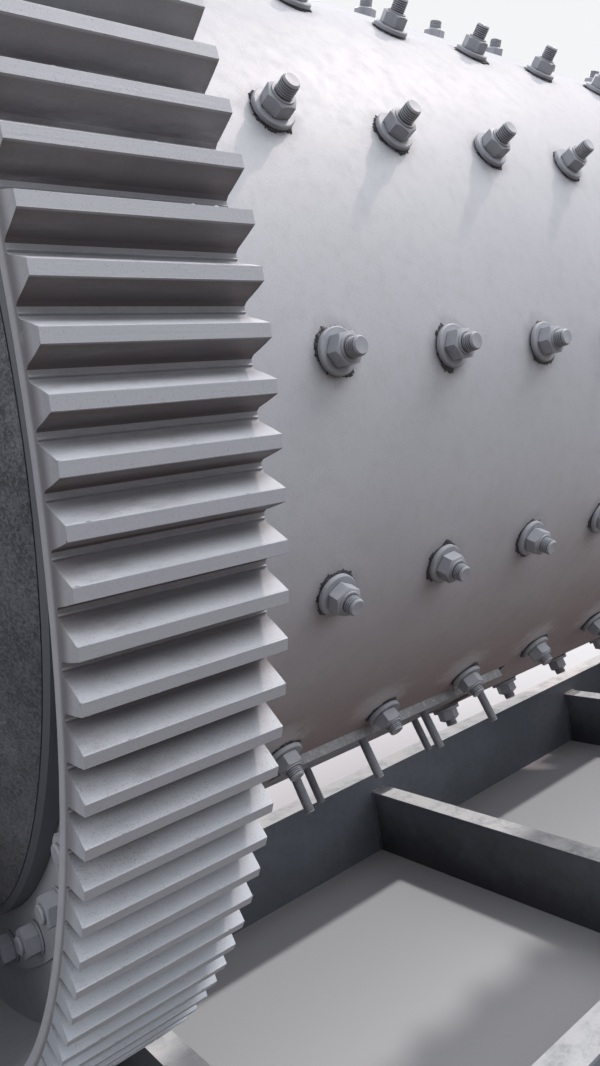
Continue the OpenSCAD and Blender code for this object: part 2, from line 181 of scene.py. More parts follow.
def endMaterial(tree, base, rough, height, bumpDepth, metallic=None, edge=None, gloss=0.5):
    # the shader, with its bump, softened edges and output
    shader = addNode(tree, "ShaderNodeBsdfPrincipled",
                     {"Base Color": base, "Roughness": rough, "Specular IOR Level": gloss})
    feed(tree, shader.inputs["Metallic"], metallic)
    soft = addNode(tree, "ShaderNodeBevel", {"Radius": edge}, samples=4).outputs[0] if edge else None
    bump = addNode(tree, "ShaderNodeBump", {"Height": height, "Strength": 1.0, "Distance": bumpDepth,
                                            "Normal": soft})
    tree.links.new(bump.outputs[0], shader.inputs["Normal"])
    addNode(tree, "ShaderNodeOutputMaterial", {"Surface": shader.outputs[0]})


# camera at the photograph's place and angle
cameraLook = {"place": (-2.1718, -1.8112, 1.6209), "right": (0.77206, -0.61536, -0.15891),
              "up": (0.17124, -0.03937, 0.98444), "back": (-0.61204, -0.78726, 0.07498),
              "lens": 18.32, "sensorHeight": 24.0}
cameraData = bpy.data.cameras.new("millCamera")
cameraData.sensor_fit = "VERTICAL"
cameraData.sensor_height = cameraLook["sensorHeight"]
cameraData.lens = cameraLook["lens"]
cameraData.clip_start = 0.02
cameraData.clip_end = 200
camera = bpy.data.objects.new("millCamera", cameraData)
scene.collection.objects.link(camera)
turn = Matrix([cameraLook["right"], cameraLook["up"], cameraLook["back"]]).transposed().to_4x4()
camera.matrix_world = Matrix.Translation(cameraLook["place"]) @ turn
scene.camera = camera
print("camera set")


# layers that some finishes have over their paint
def primerAndShadeBelow(tree, spots, base, height, look):
    # brown primer shows through where the spray didn't reach, under the drum; it is also a painted shade and
    # a painted warm ground reflection there
    ragged = times(tree, noise(tree, spots["place"], 2.2, 4, 0.6), 0.25)
    share = rise(tree, plus(tree, underneath(tree, spots), ragged), 0.38, 0.94)
    return coated(tree, base, times(tree, share, look["primerShare"]), look["primer"]), height


def boltSmears(tree, spots, base, height, look):
    # place within the grid of bolts, in metres along the drum and round it
    place, columnStep, rowStep = spots["place"], boltRows["columnStep"], boltRows["stepAngle"]
    along = over(tree, minus(tree, spots["x"], boltRows["firstColumn"]), columnStep)
    along = times(tree, calc(tree, "WRAP", along, 0.5, -0.5), columnStep)
    around = over(tree, minus(tree, turnRoundAxis(tree, spots), boltRows["firstAngle"]), rowStep)
    around = times(tree, calc(tree, "WRAP", around, 0.5, -0.5), rowStep * shellRadius)
    # dirt close round each washer, and a painted contact shade there
    ragged = times(tree, noise(tree, place, 34, 5, 0.7), 0.05)
    ring = rise(tree, plus(tree, distance(tree, along, around), ragged), 0.088, 0.058)
    base = coated(tree, base, times(tree, ring, look["ringShare"]), look["ringColour"])
    # dry spray blown over the primer beside the lower bolts
    along = over(tree, minus(tree, along, look["smearMiddle"][0]), look["smearReach"][0])
    around = over(tree, minus(tree, around, look["smearMiddle"][1]), look["smearReach"][1])
    streaks = times(tree, stretchedNoise(tree, place, (30, 70, 30), 5, 0.7), 1.6)
    smear = rise(tree, plus(tree, distance(tree, along, around), streaks), 2.1, 0.9)
    smear = times(tree, smear, rise(tree, underneath(tree, spots), 0.30, 0.62), 0.75)
    return coated(tree, base, smear, look["smear"]), height


def toothRoots(tree, spots, base, height, look):
    place, radius, fromAxis, up = (spots[key] for key in ("place", "radius", "fromAxis", "up"))
    root, tip = gearTeeth["root"], gearTeeth["tip"]
    teeth = rise(tree, radius, root - 0.002, root + 0.001)
    facingUp = rise(tree, up, 0.1, 0.4)
    patch = stretchedNoise(tree, place, (5, 22, 22), 5, 0.68)
    # grease and dirt in the roots, with painted shade deep in them, more of it low down
    rootDirtAndShadePatch = plus(tree, patch, times(tree, rise(tree, fromAxis, 0.35, -0.10), 0.38))
    rootDirtAndShade = times(tree, rise(tree, radius, root + 0.023, root + 0.003),
                 rise(tree, radius, root - 0.010, root - 0.001))
    rootDirtAndShade = times(tree, rootDirtAndShade, rise(tree, rootDirtAndShadePatch, 0.52, 0.80))
    # the floor of each root, and the flanks facing up low on the gear, keep less of the painted root shade
    # than the flanks beside them
    facingOut = plus(tree, times(tree, spots["across"], spots["y"]), times(tree, up, fromAxis))
    floorOfRoot = rise(tree, over(tree, facingOut, radius), 0.60, 0.92)
    upper = times(tree, facingUp, rise(tree, fromAxis, -0.40, 0.0))
    paler = times(tree, calc(tree, "MAXIMUM", floorOfRoot, upper), 0.66)
    rootDirtAndShade = times(tree, rootDirtAndShade, minus(tree, 1.0, paler), look["rootShare"])
    base = coated(tree, base, rootDirtAndShade, look["rootColour"])
    # painted cool reflection on the high teeth where they face down, and painted shade on the flanks that
    # face down
    coolReflection = times(tree, teeth, rise(tree, fromAxis, 0.10, 0.50), rise(tree, up, 0.1, -0.2), 0.75)
    base = coated(tree, base, coolReflection, look["coolColour"])
    shade = times(tree, teeth, rise(tree, up, 0.0, -0.55), rise(tree, patch, 0.15, 0.60))
    shade = times(tree, shade, rise(tree, fromAxis, 0.42, -0.10), look["flankShare"])
    base = coated(tree, base, shade, look["flankColour"])
    # brown blots on the flanks facing up, low on the gear, none at the end toward the middle of the mill
    blot = rise(tree, stretchedNoise(tree, place, (9, 16, 16), 6, 0.72), 0.47, 0.66)
    blot = times(tree, blot, teeth, facingUp, rise(tree, fromAxis, 0.10, -0.15))
    blot = times(tree, blot, rise(tree, spots["x"], look["cleanFrom"], look["cleanFrom"] - 0.13),
                 look["blotShare"])
    base = coated(tree, base, blot, look["blotColour"])
    # lands paler than the flanks, and painted cool light on the lowest teeth
    base = coated(tree, base, times(tree, rise(tree, radius, tip - 0.0030, tip - 0.0015), 0.8),
                  look["landColour"])
    lowestLitTint = times(tree, teeth, rise(tree, fromAxis, -0.35, -0.85), 0.8)
    base = coated(tree, base, lowestLitTint, look["lowColour"])
    # both edges of each land rubbed bright, worn and with a painted highlight
    turn = over(tree, minus(tree, turnRoundAxis(tree, spots), gearTeeth["turn"]),
                2 * math.pi / gearTeeth["count"])
    within = calc(tree, "ABSOLUTE", calc(tree, "WRAP", turn, 0.5, -0.5))
    rim = times(tree, rise(tree, within, 0.105, 0.125), rise(tree, radius, tip - 0.0020, tip - 0.0010))
    base = coated(tree, base, times(tree, rim, 0.4, rise(tree, patch, 0.45, 0.70)), look["rubbed"])
    # fine lines from the cutter along each tooth
    lines = stretchedNoise(tree, place, (4, 420, 420), 3, 0.6)
    return base, plus(tree, height, times(tree, lines, teeth, 0.10))


def grooveDirtAndShade(tree, spots, base, height, look):
    # dark dirt and painted shade at the bottom of threads and under edges, kept on the mesh as a number
    groove = addNode(tree, "ShaderNodeAttribute", attribute_name="groove").outputs["Fac"]
    share = times(tree, rise(tree, groove, 0.15, 0.9),
                  rise(tree, noise(tree, spots["place"], 60, 3, 0.6), 0.15, 0.5))
    return coated(tree, base, times(tree, share, look["grooveShare"]), look["grooveColour"]), height


def threadBands(tree, spots, base, height, look):
    # threads of the plain studs on the far sides, as bands by distance from the mill axis, with painted shade
    # in each groove
    nutTop = shellRadius + look["nutTop"]
    band = calc(tree, "SINE", times(tree, spots["radius"], 2 * math.pi / look["pitch"]))
    band = times(tree, band, rise(tree, spots["radius"], nutTop, nutTop + 0.001))
    base = coated(tree, base, times(tree, rise(tree, band, 0.0, -0.9), 0.55), look["grooveColour"])
    return base, plus(tree, height, times(tree, band, 0.6))


def splashAndShade(tree, spots, base, height, look):
    # dirt thrown up from the ground and painted shade, thickest low down and on faces across the mill
    ragged = times(tree, noise(tree, spots["place"], 7, 5, 0.7), 0.22)
    share = rise(tree, plus(tree, spots["z"], ragged), 0.36, 0.12)
    across = rise(tree, calc(tree, "ABSOLUTE", spots["endways"]), 0.4, 0.9)
    share = times(tree, share, plus(tree, look["splash"], times(tree, across, look["splashAcross"])))
    share = times(tree, share, rise(tree, spots["up"], 0.8, 0.2))
    return coated(tree, base, share, look["splashColour"]), height


def mottled(tree, spots, base, height, look):
    # pale grains left by a coarse coat
    grains = noise(tree, spots["place"], 95, 5, 0.75)
    share = times(tree, rise(tree, grains, 0.50, 0.62), look["mottle"])
    return coated(tree, base, share, look["mottleColour"]), plus(tree, height, times(tree, grains, 1.5))


# finishes of the painted, cast and turned parts
def paintedSteel(name, look, layers=()):
    mat, tree, spots = startMaterial(name)
    place, up = spots["place"], spots["up"]
    slow = noise(tree, place, look["patchScale"], 3, 0.6)
    fine = noise(tree, place, 38, 5, 0.65)
    grain = noise(tree, place, look.get("grain", 330), 3, 0.6)
    base = coated(tree, colour(look["coat"]), rise(tree, slow, 0.32, 0.68), look["coatPale"])
    base = coated(tree, base, times(tree, rise(tree, fine, 0.42, 0.75), 0.4), look["coatDark"])
    height = plus(tree, times(tree, grain, look["peel"]), times(tree, fine, look["brush"]))
    # dust that lies on what faces up, also a painted light that makes the tops paler; painted shade, with
    # some grime, on what faces down
    dustAndLitTopMask = times(tree, rise(tree, up, 0.15, 0.95), rise(tree, noise(tree, place, 9, 5, 0.7), 0.2, 0.58))
    base = coated(tree, base, times(tree, dustAndLitTopMask, look["dust"]), look["dustColour"])
    # painted shade on faces that point down, with some grime; on the gear also a painted brown ground
    # reflection
    base = coated(tree, base, times(tree, rise(tree, up, -0.25, -0.95), look["grime"]), look["grimeColour"])
    for layer in layers:
        base, height = layer(tree, spots, base, height, look)
    # dark grit: many fine grains where dust lies, a few larger ones anywhere
    dusty = times(tree, rise(tree, noise(tree, place, 3.4, 4, 0.6), 0.40, 0.62), dustAndLitTopMask, 0.07)
    grit = rise(tree, plus(tree, noise(tree, place, 640, 2, 0.6), dusty), 0.60, 0.74)
    loose = times(tree, rise(tree, noise(tree, place, 170, 3, 0.6), 0.74, 0.80),
                  rise(tree, noise(tree, place, 12, 3, 0.6), 0.44, 0.60))
    grit = calc(tree, "MAXIMUM", times(tree, grit, 0.7), times(tree, loose, 0.8))
    base = coated(tree, base, times(tree, grit, look["specks"]), "#4b4a4e")
    # thin spots where paint has come off
    chip = rise(tree, noise(tree, place, 24, 8, 0.72, 0.3), 0.735, 0.75)
    base = coated(tree, base, times(tree, chip, look["chips"]), look["bare"])
    height = minus(tree, height, times(tree, chip, 0.22))
    rough = plus(tree, look["rough"], times(tree, minus(tree, fine, 0.5), 0.22))
    rough = calc(tree, "ADD", rough, times(tree, dustAndLitTopMask, look.get("dustRough", 0.22)), clamp=True)
    gloss = look.get("gloss", 0.45)
    if look.get("calmEdges"):
        # less gloss on tops that are seen at a low angle
        away = addNode(tree, "ShaderNodeLayerWeight", {"Blend": 0.5}).outputs["Facing"]
        gloss = times(tree, minus(tree, 1.0, times(tree, away, rise(tree, up, 0.35, 0.80))), gloss)
    endMaterial(tree, base, rough, height, 0.0012, edge=look.get("edge"), gloss=gloss)
    return mat


shellLook = {"coat": "#b5b7be", "coatPale": "#bdbfc5", "coatDark": "#aaacb2", "patchScale": 1.3,
             "dust": 0.15, "dustColour": "#c3c3c3", "dustRough": 0.14, "grime": 0.25,
             "grimeColour": "#857c79",
             "specks": 0.35, "chips": 0.3, "bare": "#6d6663", "rough": 0.53, "peel": 0.30, "brush": 0.04,
             "gloss": 0.46, "calmEdges": True, "primer": "#85716e", "primerShare": 0.86,
             "ringShare": 0.35, "ringColour": "#77767c",
             "smear": "#c4c3c8", "smearMiddle": (-0.030, 0.040), "smearReach": (0.075, 0.055)}
gearLook = {"coat": "#adafb6", "coatPale": "#b7b9bf", "coatDark": "#9c9da4", "patchScale": 2.4,
            "dust": 0.5, "dustColour": "#c2c4c8", "grime": 0.35, "grimeColour": "#6f6866",
            "specks": 0.6, "chips": 0.6, "bare": "#5a5351", "rough": 0.52, "peel": 0.16, "brush": 0.14,
            "edge": 0.0005, "gloss": 0.38, "rootShare": 0.74, "rootColour": "#544d50",
            "flankShare": 0.76, "flankColour": "#655d5e", "coolColour": "#acb8bc", "lowColour": "#bcc3cc",
            "blotShare": 0.44, "blotColour": "#7d7477", "cleanFrom": -1.74,
            "landColour": "#aeb1b9", "rubbed": "#e2e3e6"}
# on the frame the pale dust on the tops is mostly painted light, and its grime on faces that point down is
# painted shade
frameLook = {"coat": "#737982", "coatPale": "#7f858e", "coatDark": "#60656e", "patchScale": 1.7,
             "dust": 0.96, "dustColour": "#dad9da", "grime": 0.5, "grimeColour": "#4d4c50",
             "specks": 0.6, "chips": 0.8, "bare": "#6b5148", "rough": 0.5, "peel": 0.2, "brush": 0.2,
             "edge": 0.002, "splash": 0.30, "splashAcross": 0.50, "splashColour": "#34333a"}
bearingLook = {"coat": "#858a92", "coatPale": "#90959c", "coatDark": "#6d7179", "patchScale": 3.2,
               "dust": 0.6, "dustColour": "#aeaeb0", "grime": 0.5, "grimeColour": "#4b4a4e",
               "specks": 0.6, "chips": 0.8, "bare": "#54423b", "rough": 0.55, "peel": 0.8, "brush": 1.0,
               "grain": 150, "edge": 0.003}
linerLook = {**frameLook, "coat": "#80848b", "patchScale": 3.0}
coverLook = {"coat": "#85868b", "coatPale": "#94959a", "coatDark": "#66666b", "patchScale": 11.0,
             "dust": 0.85, "dustColour": "#c3c4c4", "grime": 0.3, "grimeColour": "#5b5755",
             "mottle": 0.75, "mottleColour": "#b9babd", "specks": 0.8, "chips": 0.9, "bare": "#4a4441",
             "rough": 0.6, "peel": 0.9, "brush": 1.6, "grain": 160, "edge": 0.002}
boltLook = {"coat": "#9c9fa7", "coatPale": "#a7aab1", "coatDark": "#83868e", "patchScale": 9.0,
            "dust": 0.35, "dustColour": "#c0c1c4", "grime": 0.35, "grimeColour": "#6d6a6c",
            "specks": 0.4, "chips": 0.5, "bare": "#6a625f", "rough": 0.46, "peel": 0.14, "brush": 0.14,
            "edge": 0.0008, "gloss": 0.4, "grooveShare": 0.92, "grooveColour": "#3f3e44",
            "pitch": 0.0036, "nutTop": 0.0365}


def roughCasting(name, look):
    mat, tree, spots = startMaterial(name)
    place = spots["place"]
    turned = rise(tree, spots["radius"], look["turnedFrom"], look["turnedFrom"] + 0.002)
    sand = noise(tree, place, 190, 5, 0.74, 0.3)
    lump = noise(tree, place, 30, 6, 0.68)
    slow = noise(tree, place, 2.6, 4, 0.65)
    coarse = rise(tree, noise(tree, place, 6.5, 4, 0.7), 0.38, 0.62)
    base = coated(tree, colour(look["coat"]), rise(tree, slow, 0.3, 0.7), look["pale"])
    # dark pits and rubbed grains, stronger where the sand was coarse
    pits = rise(tree, plus(tree, times(tree, sand, 0.80), times(tree, lump, 0.40)), 0.68, 0.50)
    base = coated(tree, base, times(tree, pits, plus(tree, 0.50, times(tree, coarse, 0.20))), look["pit"])
    rub = rise(tree, plus(tree, times(tree, lump, 0.35), times(tree, sand, 0.80)), 0.60, 0.73)
    base = coated(tree, base, times(tree, rub, plus(tree, 0.25, times(tree, coarse, 0.20))), look["rub"])
    # darker towards the bottom of the head, in the pit colour
    base = coated(tree, base, times(tree, rise(tree, spots["fromAxis"], 0.0, -0.75), 0.5), look["pit"])
    base = coated(tree, base, turned, look["turnedColour"])
    relief = plus(tree, times(tree, sand, plus(tree, 0.60, times(tree, coarse, 0.80))),
                  times(tree, lump, 2.6))
    lines = stretchedNoise(tree, place, (900, 2, 2), 2, 0.5)
    height = plus(tree, times(tree, relief, minus(tree, 1.0, turned)), times(tree, lines, 0.06, turned))
    endMaterial(tree, base, minus(tree, 0.66, times(tree, turned, 0.16)), height, 0.0095)
    return mat


headLook = {"coat": "#9496a0", "pale": "#a4a6b0", "pit": "#3e3f46", "rub": "#9b9da5",
            "turnedColour": "#5a5c63", "turnedFrom": 0.930}


def turnedSteel(name, look):
    # bright journal and bore, painted neck and flange
    mat, tree, spots = startMaterial(name)
    place = spots["place"]
    bright = rise(tree, spots["radius"], look["journal"] + 0.0012, look["journal"] + 0.0008)
    lines = stretchedNoise(tree, place, (1400, 3, 3), 2, 0.5)
    sand = noise(tree, place, 130, 4, 0.6)
    oil = rise(tree, noise(tree, place, 6, 4, 0.6), 0.4, 0.65)
    metal = coated(tree, colour(look["steel"]), times(tree, oil, 0.4), look["oiled"])
    cast = coated(tree, colour(look["castDark"]), rise(tree, sand, 0.4, 0.62), look["cast"])
    base = blendColours(tree, bright, cast, metal)
    rough = minus(tree, 0.62, times(tree, bright, 0.34))
    height = plus(tree, times(tree, lines, bright, 0.08), times(tree, sand, minus(tree, 1.0, bright)))
    endMaterial(tree, base, rough, height, 0.0015, metallic=times(tree, bright, 0.9), edge=0.002)
    return mat


trunnionLook = {"journal": 0.350, "steel": "#b9babd", "oiled": "#8d867c", "cast": "#7c8087",
                "castDark": "#5d6067"}


def bearingBronze(name, look):
    mat, tree, spots = startMaterial(name)
    lines = stretchedNoise(tree, spots["place"], (1100, 4, 4), 2, 0.5)
    tarnish = rise(tree, noise(tree, spots["place"], 14, 5, 0.65), 0.38, 0.7)
    base = coated(tree, colour(look["metal"]), tarnish, look["tarnish"])
    rough = plus(tree, 0.30, times(tree, tarnish, 0.25))
    endMaterial(tree, base, rough, times(tree, lines, 0.1), 0.001, metallic=0.9)
    return mat


bronzeLook = {"metal": "#b08d57", "tarnish": "#6d5636"}


def sealantFinish(name, look):
    mat, tree, spots = startMaterial(name)
    fine = noise(tree, spots["place"], 140, 4, 0.65)
    base = coated(tree, colour(look["fresh"]), rise(tree, fine, 0.50, 0.78), look["dusty"])
    endMaterial(tree, base, plus(tree, 0.55, times(tree, fine, 0.3)), fine, 0.002)
    return mat


sealantBlack = sealantFinish("sealantBlack", {"fresh": "#28272b", "dusty": "#77757a"})
finishes = {
    "shell_paint": paintedSteel("shellPaint", shellLook, [primerAndShadeBelow, boltSmears]),
    "gear_paint": paintedSteel("gearPaint", gearLook, [toothRoots]),
    "frame_paint": paintedSteel("framePaint", frameLook, [splashAndShade]),
    "bearing_casting": paintedSteel("bearingPaint", bearingLook),
    "liner_paint": paintedSteel("linerPaint", linerLook),
    "rough_casting": roughCasting("sandCasting", headLook),
    "turned_steel": turnedSteel("turnedSteel", trunnionLook),
    "bronze": bearingBronze("bearingBronze", bronzeLook),
}
coverPaint = paintedSteel("coverPaint", coverLook, [mottled])
boltPaint = paintedSteel("boltPaint", boltLook, [grooveDirtAndShade])
farBoltPaint = paintedSteel("farBoltPaint", boltLook, [grooveDirtAndShade, threadBands])
slotOfNode = {part["node"]: part["material_slot"] for part in frame["record"]["subparts"]}
for name, obj in frame["nodes"].items():
    finish = coverPaint if name == "manhole_cover" else finishes[slotOfNode[name]]
    if not obj.material_slots:
        obj.data.materials.append(finish)
    for slot in obj.material_slots:
        slot.material = finish
print("finishes on the CAD nodes")


# shapes that repeat, made once and copied by the node trees
# each is its corners, its faces, and how much dirt and painted shade each corner gets
def lathe(points, sides):
    # closed solid round Z from (radius, height, dirt and painted shade) rows, from the bottom to the top
    verts, faces, rings, dirtAndShade = [], [], [], []
    for radius, height, *more in points:
        count = 1 if radius < 1e-6 else sides
        rings.append(list(range(len(verts), len(verts) + count)))
        for i in range(count):
            a = 2 * math.pi * i / sides
            verts.append((radius * math.cos(a), radius * math.sin(a), height))
            dirtAndShade.append(more[0] if more else 0.0)
    for low, high in zip(rings, rings[1:]):
        for i in range(sides):
            j = (i + 1) % sides
            if len(low) == 1:
                faces.append((low[0], high[j], high[i]))
            elif len(high) == 1:
                faces.append((low[i], low[j], high[0]))
            else:
                faces.append((low[i], low[j], high[j], high[i]))
    if len(rings[0]) > 1:
        faces.append(tuple(reversed(rings[0])))
    if len(rings[-1]) > 1:
        faces.append(tuple(rings[-1]))
    return verts, faces, dirtAndShade


def hexNut(flats, low, high, chamfer=0.62, sides=24):
    # hexagon with both ends turned to a cone, and the middle closed
    rim = flats / 2 * 0.96
    verts, rings, dirtAndShade = [], [], []
    angles = [2 * math.pi * i / sides for i in range(sides)]
    for level in range(4):
        ring = []
        for a in angles:
            corner = flats / 2 / math.cos((a % (math.pi / 3)) - math.pi / 6)
            drop = max(0.0, corner - rim) * chamfer
            radius = rim if level in (0, 3) else corner
            height = (low, low + drop * 0.5, high - drop, high)[level]
            ring.append(len(verts))
            verts.append((radius * math.cos(a), radius * math.sin(a), height))
            dirtAndShade.append((0.9, 0.25, 0.0, 0.0)[level])
        rings.append(ring)
    faces = [tuple(reversed(rings[0])), tuple(rings[3])]
    for a, b in zip(rings, rings[1:]):
        for i in range(sides):
            j = (i + 1) % sides
            faces.append((a[i], a[j], b[j], b[i]))
    return verts, faces, dirtAndShade


def threadedEnd(radius, low, high, pitch, sides):
    points = [(radius * 0.97, low, 1.0)]
    z = low + pitch * 0.5
    while z < high - pitch * 1.1:
        points += [(radius * 0.99, z - pitch * 0.12, 0.0), (radius, z, 0.0),
                   (radius * 0.895, z + pitch * 0.44, 1.0)]
        z += pitch
    points += [(radius * 0.97, z), (radius * 0.86, high - 0.0006), (radius * 0.80, high),
               (radius * 0.3, high - 0.0006)]
    return lathe(points, sides)


def joined(*parts):
    verts, faces, dirtAndShade = [], [], []
    for v, f, d in parts:
        start = len(verts)
        verts += v
        dirtAndShade += d
        faces += [tuple(i + start for i in face) for face in f]
    return verts, faces, dirtAndShade


shapes = []  # removed when the pieces are made


def shapeObject(name, part, sharp=35, label="groove"):
    mesh = bpy.data.meshes.new(name)
    mesh.from_pydata(part[0], [], part[1])
    mesh.update()
    for face in mesh.polygons:
        face.use_smooth = True
    mesh.set_sharp_from_angle(angle=math.radians(sharp))
    mesh.attributes.new(label, "FLOAT", "POINT").data.foreach_set("value", part[2])
    obj = bpy.data.objects.new(name, mesh)
    scene.collection.objects.link(obj)
    shapes.append(obj)
    return obj


# node tree helpers
def startTree(name, inputs):
    tree = bpy.data.node_groups.new(name, "GeometryNodeTree")
    tree.interface.new_socket("Geometry", in_out="INPUT", socket_type="NodeSocketGeometry")
    for label, kind, value in inputs:
        socket = tree.interface.new_socket(label, in_out="INPUT", socket_type="NodeSocket" + kind)
        if value is not None:
            socket.default_value = value
    tree.interface.new_socket("Geometry", in_out="OUTPUT", socket_type="NodeSocketGeometry")
    return tree, addNode(tree, "NodeGroupInput").outputs


def endTree(tree, geometry, material):
    real = addNode(tree, "GeometryNodeRealizeInstances", {"Geometry": geometry}).outputs[0]
    last = addNode(tree, "GeometryNodeSetMaterial", {"Geometry": real, "Material": material}).outputs[0]
    addNode(tree, "NodeGroupOutput", {0: last})
    return tree


def copiesAt(tree, points, shape, rotation, selection=None, scale=None):
    source = addNode(tree, "GeometryNodeObjectInfo",
                     {"Object": shape, "As Instance": True}).outputs["Geometry"]
    return addNode(tree, "GeometryNodeInstanceOnPoints", {
        "Points": points, "Instance": source, "Rotation": rotation, "Selection": selection,
        "Scale": scale}).outputs[0]


def pointList(tree, count, place):
    return addNode(tree, "GeometryNodePoints", {"Count": count, "Position": place}).outputs[0]


def combined(tree, x=None, y=None, z=None):
    return addNode(tree, "ShaderNodeCombineXYZ", {0: x, 1: y, 2: z}).outputs[0]


def indexOf(tree):
    return addNode(tree, "GeometryNodeInputIndex").outputs[0]


def rowAndColumn(tree, columns):
    # place of each point in a grid that is filled row by row
    index = indexOf(tree)
    row = calc(tree, "FLOOR", over(tree, plus(tree, index, 0.5), columns))
    return row, minus(tree, index, times(tree, row, columns))


def anyNumber(tree, low, high, seed):
    made = addNode(tree, "FunctionNodeRandomValue", {"Seed": seed}, data_type="FLOAT")
    feed(tree, made.inputs[2], low)
    feed(tree, made.inputs[3], high)
    return made.outputs[1]


def turnedBy(tree, rotation, spin):
    first = addNode(tree, "FunctionNodeEulerToRotation", {0: rotation}).outputs[0]
    return addNode(tree, "FunctionNodeRotateRotation",
                   {"Rotation": first, "Rotate By": combined(tree, z=spin)},
                   rotation_space="LOCAL").outputs[0]


def roundMill(tree, angle, radius, x):
    # place at an angle over the camera's side of the mill axis
    y = times(tree, calc(tree, "COSINE", angle), radius, -1.0)
    z = plus(tree, times(tree, calc(tree, "SINE", angle), radius), axisHeight)
    return combined(tree, x, y, z)


def facingOutAt(tree, angle):
    return combined(tree, minus(tree, math.pi / 2, angle))


def evenTurns(tree, given, count, index):
    return plus(tree, given["First angle"], times(tree, index, over(tree, 2 * math.pi, count)))


def listed(tree, index, values):
    made = addNode(tree, "GeometryNodeIndexSwitch", data_type="FLOAT")
    while len(made.index_switch_items) < len(values):
        made.index_switch_items.new()
    feed(tree, made.inputs[0], index)
    for socket, value in zip(made.inputs[1:], values):
        socket.default_value = value
    return made.outputs[0]


def runTree(name, tree, values, body, start=None):
    # the tree's result as a plain mesh that rides on a body
    holder = start or bpy.data.objects.new(name + "Start", bpy.data.meshes.new(name + "Start"))
    if start is None:
        scene.collection.objects.link(holder)
    nodes = holder.modifiers.new("nodes", "NODES")
    nodes.node_group = tree
    for item in tree.interface.items_tree:
        if item.item_type == "SOCKET" and item.in_out == "INPUT" and item.name in values:
            nodes[item.identifier] = values[item.name]
    bpy.context.view_layer.update()
    graph = bpy.context.evaluated_depsgraph_get()
    mesh = bpy.data.meshes.new_from_object(holder.evaluated_get(graph), depsgraph=graph)
    mesh.name = name
    holder.modifiers.remove(nodes)
    bpy.data.objects.remove(holder)
    piece = bpy.data.objects.new(name, mesh)
    scene.collection.objects.link(piece)
    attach(piece, body)
    print(name, "has", sum(len(face.vertices) - 2 for face in mesh.polygons), "triangles")


# grid of bolts on the drum, in rows along it and round it
gridInputs = [
    ("Material", "Material", None), ("Rows", "Int", 16), ("Columns", "Int", 14),
    ("First column", "Float", 0.0),
    ("Column step", "Float", 0.25), ("Radius", "Float", 0.935), ("First row angle", "Float", 0.0),
    ("Row step angle", "Float", 0.4), ("Near rows", "Int", 6), ("Near columns", "Int", 9),
    ("Near ones", "Bool", True),
    ("Bare row", "Int", 5), ("Bare from", "Float", 0.0), ("Bare to", "Float", 0.0), ("Seed", "Int", 1)]


def gridPlaces(tree, given, radius):
    row, column = rowAndColumn(tree, given["Columns"])
    x = plus(tree, given["First column"], times(tree, column, given["Column step"]))
    angle = minus(tree, given["First row angle"], times(tree, row, given["Row step angle"]))
    count = times(tree, given["Rows"], given["Columns"])
    points = pointList(tree, count, roundMill(tree, angle, radius(row), x))
    # leaves out the row under the cover, and picks the near ones or the others
    bare = times(tree, calc(tree, "COMPARE", row, given["Bare row"], 0.1),
                 calc(tree, "GREATER_THAN", x, given["Bare from"]),
                 calc(tree, "LESS_THAN", x, given["Bare to"]))
    near = times(tree, calc(tree, "LESS_THAN", row, given["Near rows"]),
                 calc(tree, "LESS_THAN", column, given["Near columns"]))
    wanted = times(tree, calc(tree, "COMPARE", near, given["Near ones"], 0.1), minus(tree, 1.0, bare))
    return points, facingOutAt(tree, angle), calc(tree, "GREATER_THAN", wanted, 0.5)


def linerBoltTree(tips):
    # washers with nuts, and studs whose tips stand at each row's own height
    tree, given = startTree("linerBolts", [
        ("Shape", "Object", None), ("Stud", "Object", None), ("Stud length", "Float", 0.052)] + gridInputs)
    points, tilt, wanted = gridPlaces(tree, given, lambda row: given["Radius"])
    spin = anyNumber(tree, 0.0, 2 * math.pi, given["Seed"])
    nuts = copiesAt(tree, points, given["Shape"], turnedBy(tree, tilt, spin), wanted)

    def studRadius(row):
        tip = plus(tree, listed(tree, row, tips), anyNumber(tree, -0.0015, 0.0015, given["Seed"]))
        return plus(tree, given["Radius"], minus(tree, tip, given["Stud length"]))
    points, tilt, wanted = gridPlaces(tree, given, studRadius)
    studs = copiesAt(tree, points, given["Stud"], turnedBy(tree, tilt, spin), wanted)
    both = addNode(tree, "GeometryNodeJoinGeometry")
    tree.links.new(studs, both.inputs[0])
    tree.links.new(nuts, both.inputs[0])
    return endTree(tree, both.outputs[0], given["Material"])


